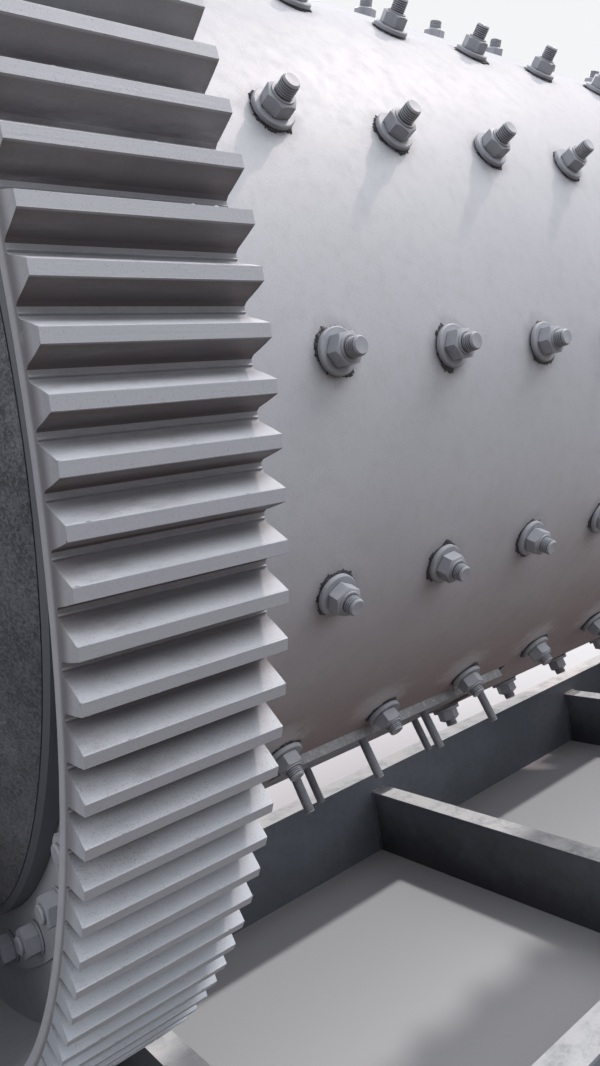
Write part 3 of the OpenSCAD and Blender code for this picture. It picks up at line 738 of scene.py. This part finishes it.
def sealantTree():
    # rings whose loose outer edge is pushed out or in, so that each one comes out ragged
    tree, given = startTree("sealant", [
        ("Shape", "Object", None), ("Slow push", "Float", 0.010),
        ("Quick push", "Float", 0.008)] + gridInputs)
    points, tilt, wanted = gridPlaces(tree, given, lambda row: given["Radius"])
    middle = addNode(tree, "GeometryNodeInputPosition").outputs[0]
    points = addNode(tree, "GeometryNodeStoreNamedAttribute", {
        "Geometry": points, "Name": "boltMiddle", "Value": middle}, data_type="FLOAT_VECTOR").outputs[0]
    spin = anyNumber(tree, 0.0, 2 * math.pi, given["Seed"])
    rings = copiesAt(tree, points, given["Shape"], turnedBy(tree, tilt, spin), wanted)
    real = addNode(tree, "GeometryNodeRealizeInstances", {"Geometry": rings}).outputs[0]
    spot = addNode(tree, "GeometryNodeInputPosition").outputs[0]
    middle = addNode(tree, "GeometryNodeInputNamedAttribute", {"Name": "boltMiddle"},
                     data_type="FLOAT_VECTOR").outputs[0]
    loose = addNode(tree, "GeometryNodeInputNamedAttribute", {"Name": "loose"}, data_type="FLOAT").outputs[0]
    outward = vectorCalc(tree, "NORMALIZE", vectorCalc(tree, "SUBTRACT", spot, middle))
    slow = minus(tree, noise(tree, spot, 26, 2, 0.5), 0.50)
    quick = minus(tree, noise(tree, spot, 430, 4, 0.75), 0.54)
    push = plus(tree, times(tree, slow, times(tree, given["Slow push"], 4.0)),
                times(tree, quick, times(tree, given["Quick push"], 3.0)))
    push = calc(tree, "MINIMUM", calc(tree, "MAXIMUM", push, -0.006), 0.009)
    push = times(tree, push, loose)
    shove = addNode(tree, "ShaderNodeVectorMath", {0: outward, "Scale": push}, operation="SCALE").outputs[0]
    moved = addNode(tree, "GeometryNodeSetPosition", {"Geometry": real, "Offset": shove}).outputs[0]
    for label in ("boltMiddle", "loose"):
        moved = addNode(tree, "GeometryNodeRemoveAttribute", {"Geometry": moved, "Name": label}).outputs[0]
    return endTree(tree, moved, given["Material"])


def boltCircleTree():
    # bolts on a circle round the mill axis, facing along it
    tree, given = startTree("boltCircle", [
        ("Shape", "Object", None), ("Material", "Material", None), ("Count", "Int", 36),
        ("Radius", "Float", 1.0),
        ("Place", "Float", 0.0), ("Facing", "Float", 1.0), ("First angle", "Float", 0.0), ("Seed", "Int", 1)])
    angle = evenTurns(tree, given, given["Count"], indexOf(tree))
    points = pointList(tree, given["Count"], roundMill(tree, angle, given["Radius"], given["Place"]))
    lean = combined(tree, y=times(tree, given["Facing"], math.pi / 2))
    turned = turnedBy(tree, lean, anyNumber(tree, 0.0, 2 * math.pi, given["Seed"]))
    return endTree(tree, copiesAt(tree, points, given["Shape"], turned), given["Material"])


def boltGridTree():
    # bolts in a rectangle on a flat face
    tree, given = startTree("boltGrid", [
        ("Shape", "Object", None), ("Material", "Material", None), ("Along", "Int", 2), ("Across", "Int", 2),
        ("Along step", "Float", 0.1), ("Across step", "Float", 0.1), ("Centre", "Vector", (0, 0, 0)),
        ("Tilt", "Vector", (0, 0, 0)), ("Seed", "Int", 1)])
    row, column = rowAndColumn(tree, given["Along"])

    def spread(number, count, step):
        return times(tree, minus(tree, number, times(tree, minus(tree, count, 1.0), 0.5)), step)
    x = spread(column, given["Along"], given["Along step"])
    y = spread(row, given["Across"], given["Across step"])
    points = pointList(tree, times(tree, given["Along"], given["Across"]), combined(tree, x, y))
    own = turnedBy(tree, (0, 0, 0), anyNumber(tree, 0.0, 2 * math.pi, given["Seed"]))
    placed = addNode(tree, "GeometryNodeTransform", {
        "Geometry": copiesAt(tree, points, given["Shape"], own), "Translation": given["Centre"],
        "Rotation": given["Tilt"]})
    return endTree(tree, placed.outputs[0], given["Material"])


def weldTree():
    # weld beads along curves, with the ripple of the passes
    tree, given = startTree("weldBead", [
        ("Material", "Material", None), ("Size", "Float", 0.006), ("Ripple step", "Float", 0.009),
        ("Ripple", "Float", 0.12)])
    half = times(tree, given["Ripple step"], 0.5)
    even = addNode(tree, "GeometryNodeResampleCurve", {"Curve": given["Geometry"], "Length": half},
                   mode="LENGTH").outputs[0]
    beat = minus(tree, times(tree, calc(tree, "MODULO", indexOf(tree), 2.0), 2.0), 1.0)
    uneven = addNode(tree, "ShaderNodeTexNoise", {"Scale": 22.0, "Detail": 2.0}).outputs["Fac"]
    size = plus(tree, 1.0, times(tree, beat, given["Ripple"]))
    size = plus(tree, size, times(tree, minus(tree, uneven, 0.5), 0.5))
    profile = addNode(tree, "GeometryNodeCurvePrimitiveCircle", {"Resolution": 7, "Radius": given["Size"]},
                      mode="RADIUS")
    tube = addNode(tree, "GeometryNodeCurveToMesh", {
        "Curve": even, "Profile Curve": profile.outputs[0], "Scale": size, "Fill Caps": True})
    return endTree(tree, tube.outputs[0], given["Material"])


def toothRowTree():
    # one strip along every tooth root
    tree, given = startTree("toothRow", [
        ("Shape", "Object", None), ("Material", "Material", None), ("Teeth", "Int", 150),
        ("Radius", "Float", 1.18),
        ("First angle", "Float", 0.0), ("Place", "Float", 0.0)])
    angle = evenTurns(tree, given, given["Teeth"], indexOf(tree))
    points = pointList(tree, given["Teeth"], roundMill(tree, angle, given["Radius"], given["Place"]))
    turned = turnedBy(tree, facingOutAt(tree, angle), 0.0)
    return endTree(tree, copiesAt(tree, points, given["Shape"], turned), given["Material"])


def burrTree():
    # slivers that the cutter left along the edges of the tooth lands, some at the very ends
    tree, given = startTree("toothBurrs", [
        ("Shape", "Object", None), ("Material", "Material", None), ("Teeth", "Int", 150),
        ("Burrs each", "Int", 6),
        ("Radius", "Float", 1.2155), ("First angle", "Float", 0.0), ("Half land", "Float", 0.0053),
        ("From", "Float", 0.0),
        ("To", "Float", 0.0), ("Seed", "Int", 5), ("Size seed", "Int", 11)])
    tooth, place = rowAndColumn(tree, given["Burrs each"])
    side = minus(tree, times(tree, calc(tree, "MODULO", place, 2.0), 2.0), 1.0)
    angle = plus(tree, evenTurns(tree, given, given["Teeth"], tooth), times(tree, side, given["Half land"]))
    share = calc(tree, "MAXIMUM", anyNumber(tree, -0.2, 1.15, given["Seed"]), 0.006)
    share = calc(tree, "MINIMUM", share, 0.994)
    x = plus(tree, given["From"], times(tree, share, minus(tree, given["To"], given["From"])))
    count = times(tree, given["Teeth"], given["Burrs each"])
    points = pointList(tree, count, roundMill(tree, angle, given["Radius"], x))
    spin = times(tree, minus(tree, 1.0, side), math.pi / 2)
    spin = plus(tree, anyNumber(tree, -0.35, 0.35, given["Seed"]), spin)
    turned = turnedBy(tree, facingOutAt(tree, angle), spin)
    size = anyNumber(tree, 0.35, 1.25, given["Size seed"])
    burrs = copiesAt(tree, points, given["Shape"], turned, None, combined(tree, size, size, 1.0))
    return endTree(tree, burrs, given["Material"])


linerBoltLook = {"washer": 0.0355, "washerThick": 0.0085, "plate": 0.0335, "plateThick": 0.003,
                 "flats": 0.046, "nutTop": 0.0345,
                 "collar": 0.0195, "collarThick": 0.0024, "stud": 0.015, "studLength": 0.052, "pitch": 0.0036,
                 "tips": [0.062, 0.061, 0.057, 0.055, 0.052, 0.051, 0.050, 0.049, 0.045, 0.050, 0.047, 0.044,
                          0.048, 0.052, 0.055, 0.057]}
linerBolts = linerBoltTree(linerBoltLook["tips"])
sealant, boltCircle, boltGrid = sealantTree(), boltCircleTree(), boltGridTree()
weldBead, toothRow, toothBurrs = weldTree(), toothRowTree(), burrTree()
print("node trees built")


def nearLinerNut(look):
    # plate, washer, nut and collar of the bolts in plain view
    low, washer, collar = look["plateThick"], look["washer"], look["collar"]
    top, end = low + look["washerThick"], look["nutTop"] + look["collarThick"]
    return joined(
        lathe([(look["plate"], 0.0, 1.0), (look["plate"], low, 1.0)], 28),
        lathe([(washer - 0.001, low, 1.0), (washer, low + 0.001, 0.4), (washer, top - 0.0018, 0.0),
               (washer - 0.0018, top, 0.0), (look["flats"] * 0.54, top, 0.3),
               (look["flats"] * 0.45, top, 0.9)], 28),
        hexNut(look["flats"], top, look["nutTop"]),
        lathe([(collar, look["nutTop"] - 0.001, 0.6), (collar, end - 0.0006, 0.0),
               (collar - 0.0006, end, 0.0), (look["stud"] * 0.9, end, 1.0)], 20))


def farLinerNut(look):
    washer, top = look["washer"], look["plateThick"] + look["washerThick"]
    return joined(
        lathe([(washer, 0.0, 1.0), (washer, top - 0.0015, 0.0), (washer - 0.0015, top, 0.0)], 14),
        hexNut(look["flats"], top, look["nutTop"] + look["collarThick"], sides=6))


# liner bolts on the shell: 16 rows round it, 14 along it, with thread on those in plain view
look = linerBoltLook
stud, length = look["stud"], look["studLength"]
nearNut = shapeObject("linerNutNear", nearLinerNut(look))
nearStud = shapeObject("linerStudNear", threadedEnd(stud, 0.0, length, look["pitch"], 18))
farNut = shapeObject("linerNutFar", farLinerNut(look))
farStud = shapeObject("linerStudFar", lathe([(stud, 0.0), (stud, length - 0.002), (stud - 0.002, length)], 9))
gridLook = {"Rows": 16, "Columns": 14, "First column": boltRows["firstColumn"],
            "Column step": boltRows["columnStep"], "Radius": shellRadius - 0.0006,
            "First row angle": boltRows["firstAngle"], "Row step angle": boltRows["stepAngle"],
            "Near rows": 6, "Near columns": 9,
            "Bare row": 5, "Bare from": -1.40, "Bare to": -0.63}
for name, nut, tipStud, paint, near in (("linerBoltsNear", nearNut, nearStud, boltPaint, True),
                                        ("linerBoltsFar", farNut, farStud, farBoltPaint, False)):
    runTree(name, linerBolts, {
        **gridLook, "Shape": nut, "Stud": tipStud, "Stud length": length, "Material": paint,
        "Near ones": near}, "drum")

# black sealant squeezed out from under the washers
sealantLook = {"inner": 0.029, "middle": 0.0345, "outer": 0.0370, "high": 0.0030, "edge": 0.0006,
               "low": -0.003}


def ringShape(look, sides):
    # corners of the ring's section, with how far each may move
    section = ((look["inner"], look["low"], 0.0), (look["outer"], look["low"], 1.0),
               (look["outer"], look["edge"], 1.0),
               (look["middle"], look["high"], 0.55), (look["inner"], look["high"], 0.0))
    verts, faces, loose = [], [], []
    for i in range(sides):
        a = 2 * math.pi * i / sides
        for radius, height, free in section:
            verts.append((radius * math.cos(a), radius * math.sin(a), height))
            loose.append(free)
    n = len(section)
    for i in range(sides):
        j = (i + 1) % sides
        for k in range(n):
            m = (k + 1) % n
            faces.append((n * i + k, n * j + k, n * j + m, n * i + m))
    return verts, faces, loose


for name, sides, near in (("sealantNear", 110, True), ("sealantFar", 14, False)):
    ring = shapeObject(name + "Ring", ringShape(sealantLook, sides), 50, "loose")
    runTree(name, sealant, {**gridLook, "Material": sealantBlack, "Shape": ring, "Near ones": near},
            "drum")

# nuts and heads of the bolts through the heads' flanges and the gear's web
flangeBolt = {"circle": 1.000, "count": 36, "first": math.radians(0.5), "flats": 0.046, "washer": 0.028,
              "washerThick": 0.004, "nutHigh": 0.024, "headHigh": 0.019, "stud": 0.015, "studOut": 0.006,
              "headFace": 1.690, "gearNutFace": 1.810, "feedNutFace": 1.770}


def flangeNutShape(look):
    washer, low, stud = look["washer"], look["washerThick"], look["stud"]
    top = low + look["nutHigh"]
    end = top + look["studOut"]
    return joined(
        lathe([(washer, 0.0, 1.0), (washer, low - 0.0008, 0.2), (washer - 0.0008, low, 0.0)], 20),
        hexNut(look["flats"], low, top),
        lathe([(stud, top - 0.002, 1.0), (stud, end - 0.002, 0.2), (stud - 0.002, end)], 16))


def flangeHeadShape(look):
    washer, low = look["washer"], look["washerThick"]
    return joined(lathe([(washer, 0.0, 1.0), (washer, low, 0.2)], 20),
                  hexNut(look["flats"], low, low + look["headHigh"]))


look = flangeBolt
flangeNut = shapeObject("flangeNut", flangeNutShape(look))
flangeHead = shapeObject("flangeHead", flangeHeadShape(look))
for name, shape, place, facing, slotName in (
        ("gearNuts", flangeNut, -look["gearNutFace"], -1.0, "gear_paint"),
        ("gearBoltHeads", flangeHead, -look["headFace"], 1.0, "shell_paint"),
        ("feedNuts", flangeNut, look["feedNutFace"], 1.0, "shell_paint"),
        ("feedBoltHeads", flangeHead, look["headFace"], -1.0, "shell_paint")):
    runTree(name, boltCircle, {
        "Shape": shape, "Count": look["count"], "Radius": look["circle"], "Place": place, "Facing": facing,
        "First angle": look["first"], "Material": boltPaint}, "drum")

# bolts that hold the trunnions to the hubs
trunnionBolt = {"circle": 0.450, "count": 20, "first": math.radians(4), "flats": 0.041,
                "high": 0.017, "face": 2.115}
look = trunnionBolt
trunnionHead = shapeObject("trunnionHead", hexNut(look["flats"], 0.0, look["high"]))
for name, side in (("trunnionBoltsGearEnd", -1.0), ("trunnionBoltsFeedEnd", 1.0)):
    runTree(name, boltCircle, {
        "Shape": trunnionHead, "Count": look["count"], "Radius": look["circle"], "Place": side * look["face"],
        "Facing": side, "First angle": look["first"], "Material": boltPaint}, "drum")


def tiltTo(outward, along=(1, 0, 0)):
    # turn that puts local Z outward and local X along the mill
    z = Vector(outward).normalized()
    x = Vector(along)
    x = (x - z * x.dot(z)).normalized()
    return tuple(Matrix([x, z.cross(x), z]).transposed().to_euler())


def roundDrum(degrees, radius, x=0.0):
    a = math.radians(degrees)
    return Vector((x, -math.cos(a) * radius, axisHeight + math.sin(a) * radius))


# bolts through the splice flanges of the gear halves
spliceBolt = {"turns": (-88.275, 91.725), "radius": 1.089, "halfThick": 0.032,
              "rows": {"Outer": (-1.858, 2, 0.056), "Inner": (-1.743, 1, 0.0)}}
look = spliceBolt
for i, turnAt in enumerate(look["turns"]):
    a = math.radians(turnAt)
    tangent = Vector((0, math.sin(a), math.cos(a)))
    for tag, (x, count, step) in look["rows"].items():
        for part, shape, way in (("Nuts", flangeNut, 1.0), ("Heads", flangeHead, -1.0)):
            centre = roundDrum(turnAt, look["radius"], x) + tangent * way * look["halfThick"]
            runTree("splice%s%s%d" % (part, tag, i + 1), boltGrid, {
                "Shape": shape, "Along": count, "Across": 1, "Along step": step, "Centre": tuple(centre),
                "Tilt": tiltTo(tangent * way), "Material": boltPaint}, "drum")

# long studs that hold the manhole cover
coverStud = {"drop": -64.0, "seat": 0.927, "tip": 1.011, "radius": 0.010, "pitch": 0.0025,
             "frontMiddle": -1.0155, "backMiddle": -0.9745, "alongStep": 0.187, "across": 0.150}
look = coverStud
high = look["tip"] - look["seat"]
studShape = shapeObject("coverStud", threadedEnd(look["radius"], -0.002, high, look["pitch"], 16))
outward = roundDrum(look["drop"], 1.0) - Vector((0, 0, axisHeight))
sideways = Vector(outward).normalized().cross(Vector((1, 0, 0)))
for name, middle, way in (("coverStudsFront", look["frontMiddle"], 1.0),
                          ("coverStudsBack", look["backMiddle"], -1.0)):
    centre = roundDrum(look["drop"], look["seat"], middle) + sideways * way * look["across"]
    runTree(name, boltGrid, {
        "Shape": studShape, "Along": 4, "Across": 1, "Along step": look["alongStep"], "Centre": tuple(centre),
        "Tilt": tiltTo(outward), "Material": boltPaint}, "drum")

# studs and nuts of the bearing caps and feet
capStud = {"flats": 0.046, "washer": 0.028, "stud": 0.015, "out": 0.020, "xStep": 0.160, "ySpan": 1.010,
           "top": 1.873, "under": 1.763, "bearingX": 2.315}
footStud = {"flats": 0.055, "washer": 0.033, "stud": 0.018, "out": 0.024,
            "xStep": 0.160, "ySpan": 0.980, "top": 1.388}


def studNut(look):
    washer, low = look["washer"], 0.005
    top = low + look["flats"] * 0.53
    return joined(
        lathe([(washer, 0.0, 1.0), (washer, low - 0.0008, 0.2), (washer - 0.0008, low, 0.0)], 24),
        hexNut(look["flats"], low, top),
        threadedEnd(look["stud"], top - 0.001, top + look["out"], 0.0036, 18))


capNut = shapeObject("capNut", studNut(capStud))
footNut = shapeObject("footNut", studNut(footStud))
upright, upsideDown = (0, 0, 0), (math.pi, 0, 0)
for tag, side in (("GearEnd", -1), ("FeedEnd", 1)):
    x = side * capStud["bearingX"]
    for name, shape, look, z, tilt in (("capNuts", capNut, capStud, capStud["top"], upright),
                                       ("capHeads", flangeHead, capStud, capStud["under"], upsideDown),
                                       ("footNuts", footNut, footStud, footStud["top"], upright)):
        runTree(name + tag, boltGrid, {
            "Shape": shape, "Along": 2, "Across": 2, "Along step": look["xStep"],
            "Across step": look["ySpan"], "Centre": (x, 0, z), "Tilt": tilt,
            "Material": boltPaint}, "base")

# oil cups on top of the bearing caps
oilCup = {"radius": 0.021, "high": 0.052, "neck": 0.012, "flats": 0.030, "step": 0.150}
look = oilCup
wide, high, neck = look["radius"], look["high"], look["neck"]
cupShape = shapeObject("oilCupShape", joined(
    lathe([(neck, -0.004, 1.0), (neck, 0.010, 0.6)], 12),
    hexNut(look["flats"], 0.008, 0.020, chamfer=0.6),
    lathe([(wide * 0.8, 0.020, 0.8), (wide, 0.026, 0.1), (wide, high * 0.72, 0.0),
           (wide * 0.96, high * 0.75, 0.9), (wide * 1.05, high * 0.78, 0.1),
           (wide * 1.05, high * 0.92, 0.0), (wide * 0.6, high, 0.0)], 24)))
for tag in ("gear_end", "feed_end"):
    low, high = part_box("bearing_cap_" + tag)
    runTree("oilCups_" + tag, boltGrid, {
        "Shape": cupShape, "Along": 2, "Across": 1, "Along step": look["step"],
        "Centre": ((low.x + high.x) / 2, 0, high.z), "Material": boltPaint}, "base")

# ridges along the tooth roots, and burrs along the edges of the lands
teeth = gearTeeth
middleOfFace = (teeth["from"] + teeth["to"]) / 2
ridge = {"length": 0.219, "wide": 0.0040, "high": 0.0016, "low": -0.0004, "fromTooth": math.radians(1.1)}
look = ridge
section = ((-look["wide"] / 2, look["low"]), (look["wide"] / 2, look["low"]), (0.0, look["high"]))
ridgeShape = shapeObject("rootRidgeShape", (
    [(x * look["length"] / 2, y, z) for x in (-1, 1) for y, z in section],
    [(0, 1, 4, 3), (1, 2, 5, 4), (2, 0, 3, 5), (0, 2, 1), (3, 4, 5)], [0.0] * 6))
runTree("rootRidges", toothRow, {
    "Shape": ridgeShape, "Teeth": teeth["count"], "Radius": teeth["root"], "Place": middleOfFace,
    "First angle": teeth["turn"] + look["fromTooth"], "Material": boltPaint}, "drum")
burr = {"each": 6, "radius": 1.2154, "halfLand": math.radians(0.304),
        "long": 0.0036, "out": 0.0016, "thick": 0.0004}
look = burr
long, out, thick = look["long"], look["out"], look["thick"]
burrShape = shapeObject("burrShape", (
    [(-long, -0.0006, 0), (-long * 0.3, -out * 0.8, 0), (long * 0.25, -out, thick), (long, -0.0004, 0),
     (long * 0.4, 0.0009, 0), (-long * 0.5, 0.0008, 0), (0, 0, thick), (0, 0, -thick * 2)],
    [(i, (i + 1) % 6, 6) for i in range(6)] + [((i + 1) % 6, i, 7) for i in range(6)], [0.3] * 8), 15)
runTree("toothBurrs", toothBurrs, {
    "Shape": burrShape, "Teeth": teeth["count"], "Burrs each": look["each"], "Radius": look["radius"],
    "First angle": teeth["turn"], "Half land": look["halfLand"], "From": teeth["from"], "To": teeth["to"],
    "Material": boltPaint}, "drum")

# weld beads of the frame and stands, round the shell's flanges, and the seams between the shell's plates
weldLook = {"frame": 0.0055, "stand": 0.007, "ring": 0.008, "seam": 0.0042, "seamX": 0.245,
            "seamTurns": (151.0, 207.0)}


def weldCurve(name, lines):
    data = bpy.data.curves.new(name, "CURVE")
    data.dimensions = "3D"
    for points, closed in lines:
        line = data.splines.new("POLY")
        line.points.add(len(points) - 1)
        for point, place in zip(line.points, points):
            point.co = (*place, 1.0)
        line.use_cyclic_u = closed
    obj = bpy.data.objects.new(name, data)
    scene.collection.objects.link(obj)
    return obj


def wholeRing(radius, x, sides=240):
    return [tuple(roundDrum(360 * i / sides, radius, x)) for i in range(sides)]


frameLines, standLines = [], []
frameEdges = {"webY": 0.725, "beamTop": 0.320, "crossTop": 0.250, "flange": 0.078,
              "inside": 0.007, "beadRoom": 0.0085}
webY, beamTop, crossTop = (frameEdges[key] for key in ("webY", "beamTop", "crossTop"))
for n in range(1, 8):
    low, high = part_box("cross_beam_%d" % n)
    # beads at the two ends of the mill stay within its length
    left = max(low.x, cadBox[0][0] + frameEdges["beadRoom"])
    right = min(low.x + frameEdges["flange"], cadBox[1][0] - frameEdges["beadRoom"])
    inner, tip = low.x + frameEdges["inside"], low.x + 0.070
    for s in (-1, 1):
        y = s * (webY - 0.0015)
        outside = [(left, y, 0.010), (left, y, crossTop), (right, y, crossTop), (right, y, crossTop - 0.010)]
        inside = [(inner, y, 0.014), (inner, y, crossTop - 0.014), (tip, y, crossTop - 0.009)]
        frameLines += [(outside, False), (inside, False)]
standEdges = {"baseY": 0.813, "topY": 0.560, "footTop": 0.340, "top": 1.298,
              "sideX": 0.140, "footX": 0.190, "slopeX": 0.120}
baseY, topY, footTop, standTop = (standEdges[key] for key in ("baseY", "topY", "footTop", "top"))
for end in ("gear_end", "feed_end"):
    low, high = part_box("bearing_stand_" + end)
    middle = (low.x + high.x) / 2
    for x in (middle - standEdges["sideX"], middle + standEdges["sideX"]):
        standLines.append(([(x, -baseY + 0.004, footTop), (x, baseY - 0.004, footTop)], False))
        standLines.append(([(x, -topY, standTop), (x, topY, standTop)], False))
    for s in (-1, 1):
        for x in (middle - standEdges["footX"], middle + standEdges["footX"]):
            standLines.append(([(x, s * webY, beamTop), (x, s * (baseY - 0.002), beamTop)], False))
        left, right = middle - standEdges["slopeX"], middle + standEdges["slopeX"]
        for x in (left, right):
            standLines.append(([(x, s * (baseY - 0.001), footTop), (x, s * (topY - 0.001), standTop)], False))
        standLines.append(([(left, s * baseY, footTop), (right, s * baseY, footTop)], False))
ringLines = [(wholeRing(shellRadius + 0.002, s * 1.689), True) for s in (-1, 1)]
seamLines = [(wholeRing(shellRadius - 0.0026, weldLook["seamX"]), True)]
for turnAt, low, high in zip(weldLook["seamTurns"], (-1.688, weldLook["seamX"]), (weldLook["seamX"], 1.688)):
    seamLines.append(([tuple(roundDrum(turnAt, shellRadius - 0.0026, x)) for x in (low, high)], False))
runTree("frameWelds", weldBead, {"Material": finishes["frame_paint"], "Size": weldLook["frame"]}, "base",
        weldCurve("frameWeldStart", frameLines))
runTree("standWelds", weldBead, {"Material": finishes["frame_paint"], "Size": weldLook["stand"]}, "base",
        weldCurve("standWeldStart", standLines))
runTree("ringWelds", weldBead, {
    "Material": finishes["shell_paint"], "Size": weldLook["ring"], "Ripple step": 0.012},
    "drum", weldCurve("ringWeldStart", ringLines))
runTree("shellSeams", weldBead, {
    "Material": finishes["shell_paint"], "Size": weldLook["seam"], "Ripple step": 0.012, "Ripple": 0.08},
    "drum", weldCurve("seamStart", seamLines))

for obj in shapes:
    bpy.data.objects.remove(obj)
print("repeating pieces made")


# floor, backdrop and light
stageLook = {"floorSeen": "#b4b4b7", "floorLight": "#4c4239", "floorSize": 60.0, "skySeen": "#f4f5f7",
             "skyTop": "#f2f5fa", "skyLow": "#505258", "skyBright": (0.33, -0.55, 0.77), "skyFrom": 0.50,
             "skyTo": 1.0, "skyStrength": 2.2}
floorMesh = bpy.data.meshes.new("floor")
half = stageLook["floorSize"] / 2
floorMesh.from_pydata([(-half, -half, 0), (half, -half, 0), (half, half, 0), (-half, half, 0)], [],
                      [(0, 1, 2, 3)])
floor = bpy.data.objects.new("floor", floorMesh)
floor.location = (0, 0, -0.001)
scene.collection.objects.link(floor)


def seenOrMirrored(tree):
    # 1 for what the camera, a reflection or glass sees, 0 for what only lights the mill
    path = addNode(tree, "ShaderNodeLightPath").outputs
    return calc(tree, "MAXIMUM", path["Is Camera Ray"],
                calc(tree, "MAXIMUM", path["Is Glossy Ray"], path["Is Transmission Ray"]))


floorMat = bpy.data.materials.new("floorPale")
floorMat.use_nodes = True
tree = floorMat.node_tree
tree.nodes.clear()
tint = blendColours(tree, seenOrMirrored(tree), colour(stageLook["floorLight"]),
                    colour(stageLook["floorSeen"]))
pale = addNode(tree, "ShaderNodeBsdfDiffuse", {"Color": tint})
addNode(tree, "ShaderNodeOutputMaterial", {"Surface": pale.outputs[0]})
floorMesh.materials.append(floorMat)

world = bpy.data.worlds.new("studio")
world.use_nodes = True
tree = world.node_tree
tree.nodes.clear()
direction = vectorCalc(tree, "NORMALIZE", addNode(tree, "ShaderNodeTexCoord").outputs["Generated"])
towards = vectorCalc(tree, "DOT_PRODUCT", direction, tuple(Vector(stageLook["skyBright"]).normalized()),
                     out=1)
share = rise(tree, towards, stageLook["skyFrom"], stageLook["skyTo"])
sky = blendColours(tree, share, colour(stageLook["skyLow"]), colour(stageLook["skyTop"]))
glow = addNode(tree, "ShaderNodeBackground", {"Color": sky, "Strength": stageLook["skyStrength"]})
seen = addNode(tree, "ShaderNodeBackground", {"Color": colour(stageLook["skySeen"]), "Strength": 1.0})
either = addNode(tree, "ShaderNodeMixShader", {0: seenOrMirrored(tree), 1: glow.outputs[0],
                                               2: seen.outputs[0]})
addNode(tree, "ShaderNodeOutputWorld", {"Surface": either.outputs[0]})
scene.world = world

# sun over the far end of the mill, which catches the ends of the teeth
# with the haze round it, light from beyond and a soft fill
lampLooks = {"sunLamp": {"towards": (0.64, -0.06, 0.766), "strength": 1.3, "spread": math.radians(2.2),
                         "tint": (1.0, 0.83, 0.78)},
             "hazeLamp": {"towards": (0.50, -0.35, 0.79), "strength": 1.2, "spread": math.radians(34),
                          "tint": (1.0, 0.98, 0.96)},
             "beyondLamp": {"towards": (0.40, 0.55, 0.74), "strength": 2.2, "spread": math.radians(4),
                            "tint": (1.0, 0.97, 0.94)},
             "fillLamp": {"towards": (-0.86, -0.12, 0.49), "strength": 0.95, "spread": math.radians(40),
                          "tint": (0.96, 0.98, 1.0)}}
for name, look in lampLooks.items():
    data = bpy.data.lights.new(name, "SUN")
    data.energy, data.angle, data.color = look["strength"], look["spread"], look["tint"]
    lamp = bpy.data.objects.new(name, data)
    scene.collection.objects.link(lamp)
    lamp.location = Vector(look["towards"]) * 8
    lamp.rotation_euler = (-Vector(look["towards"])).to_track_quat("-Z", "Y").to_euler()
scene.view_settings.view_transform = "Standard"
print("stage and light")
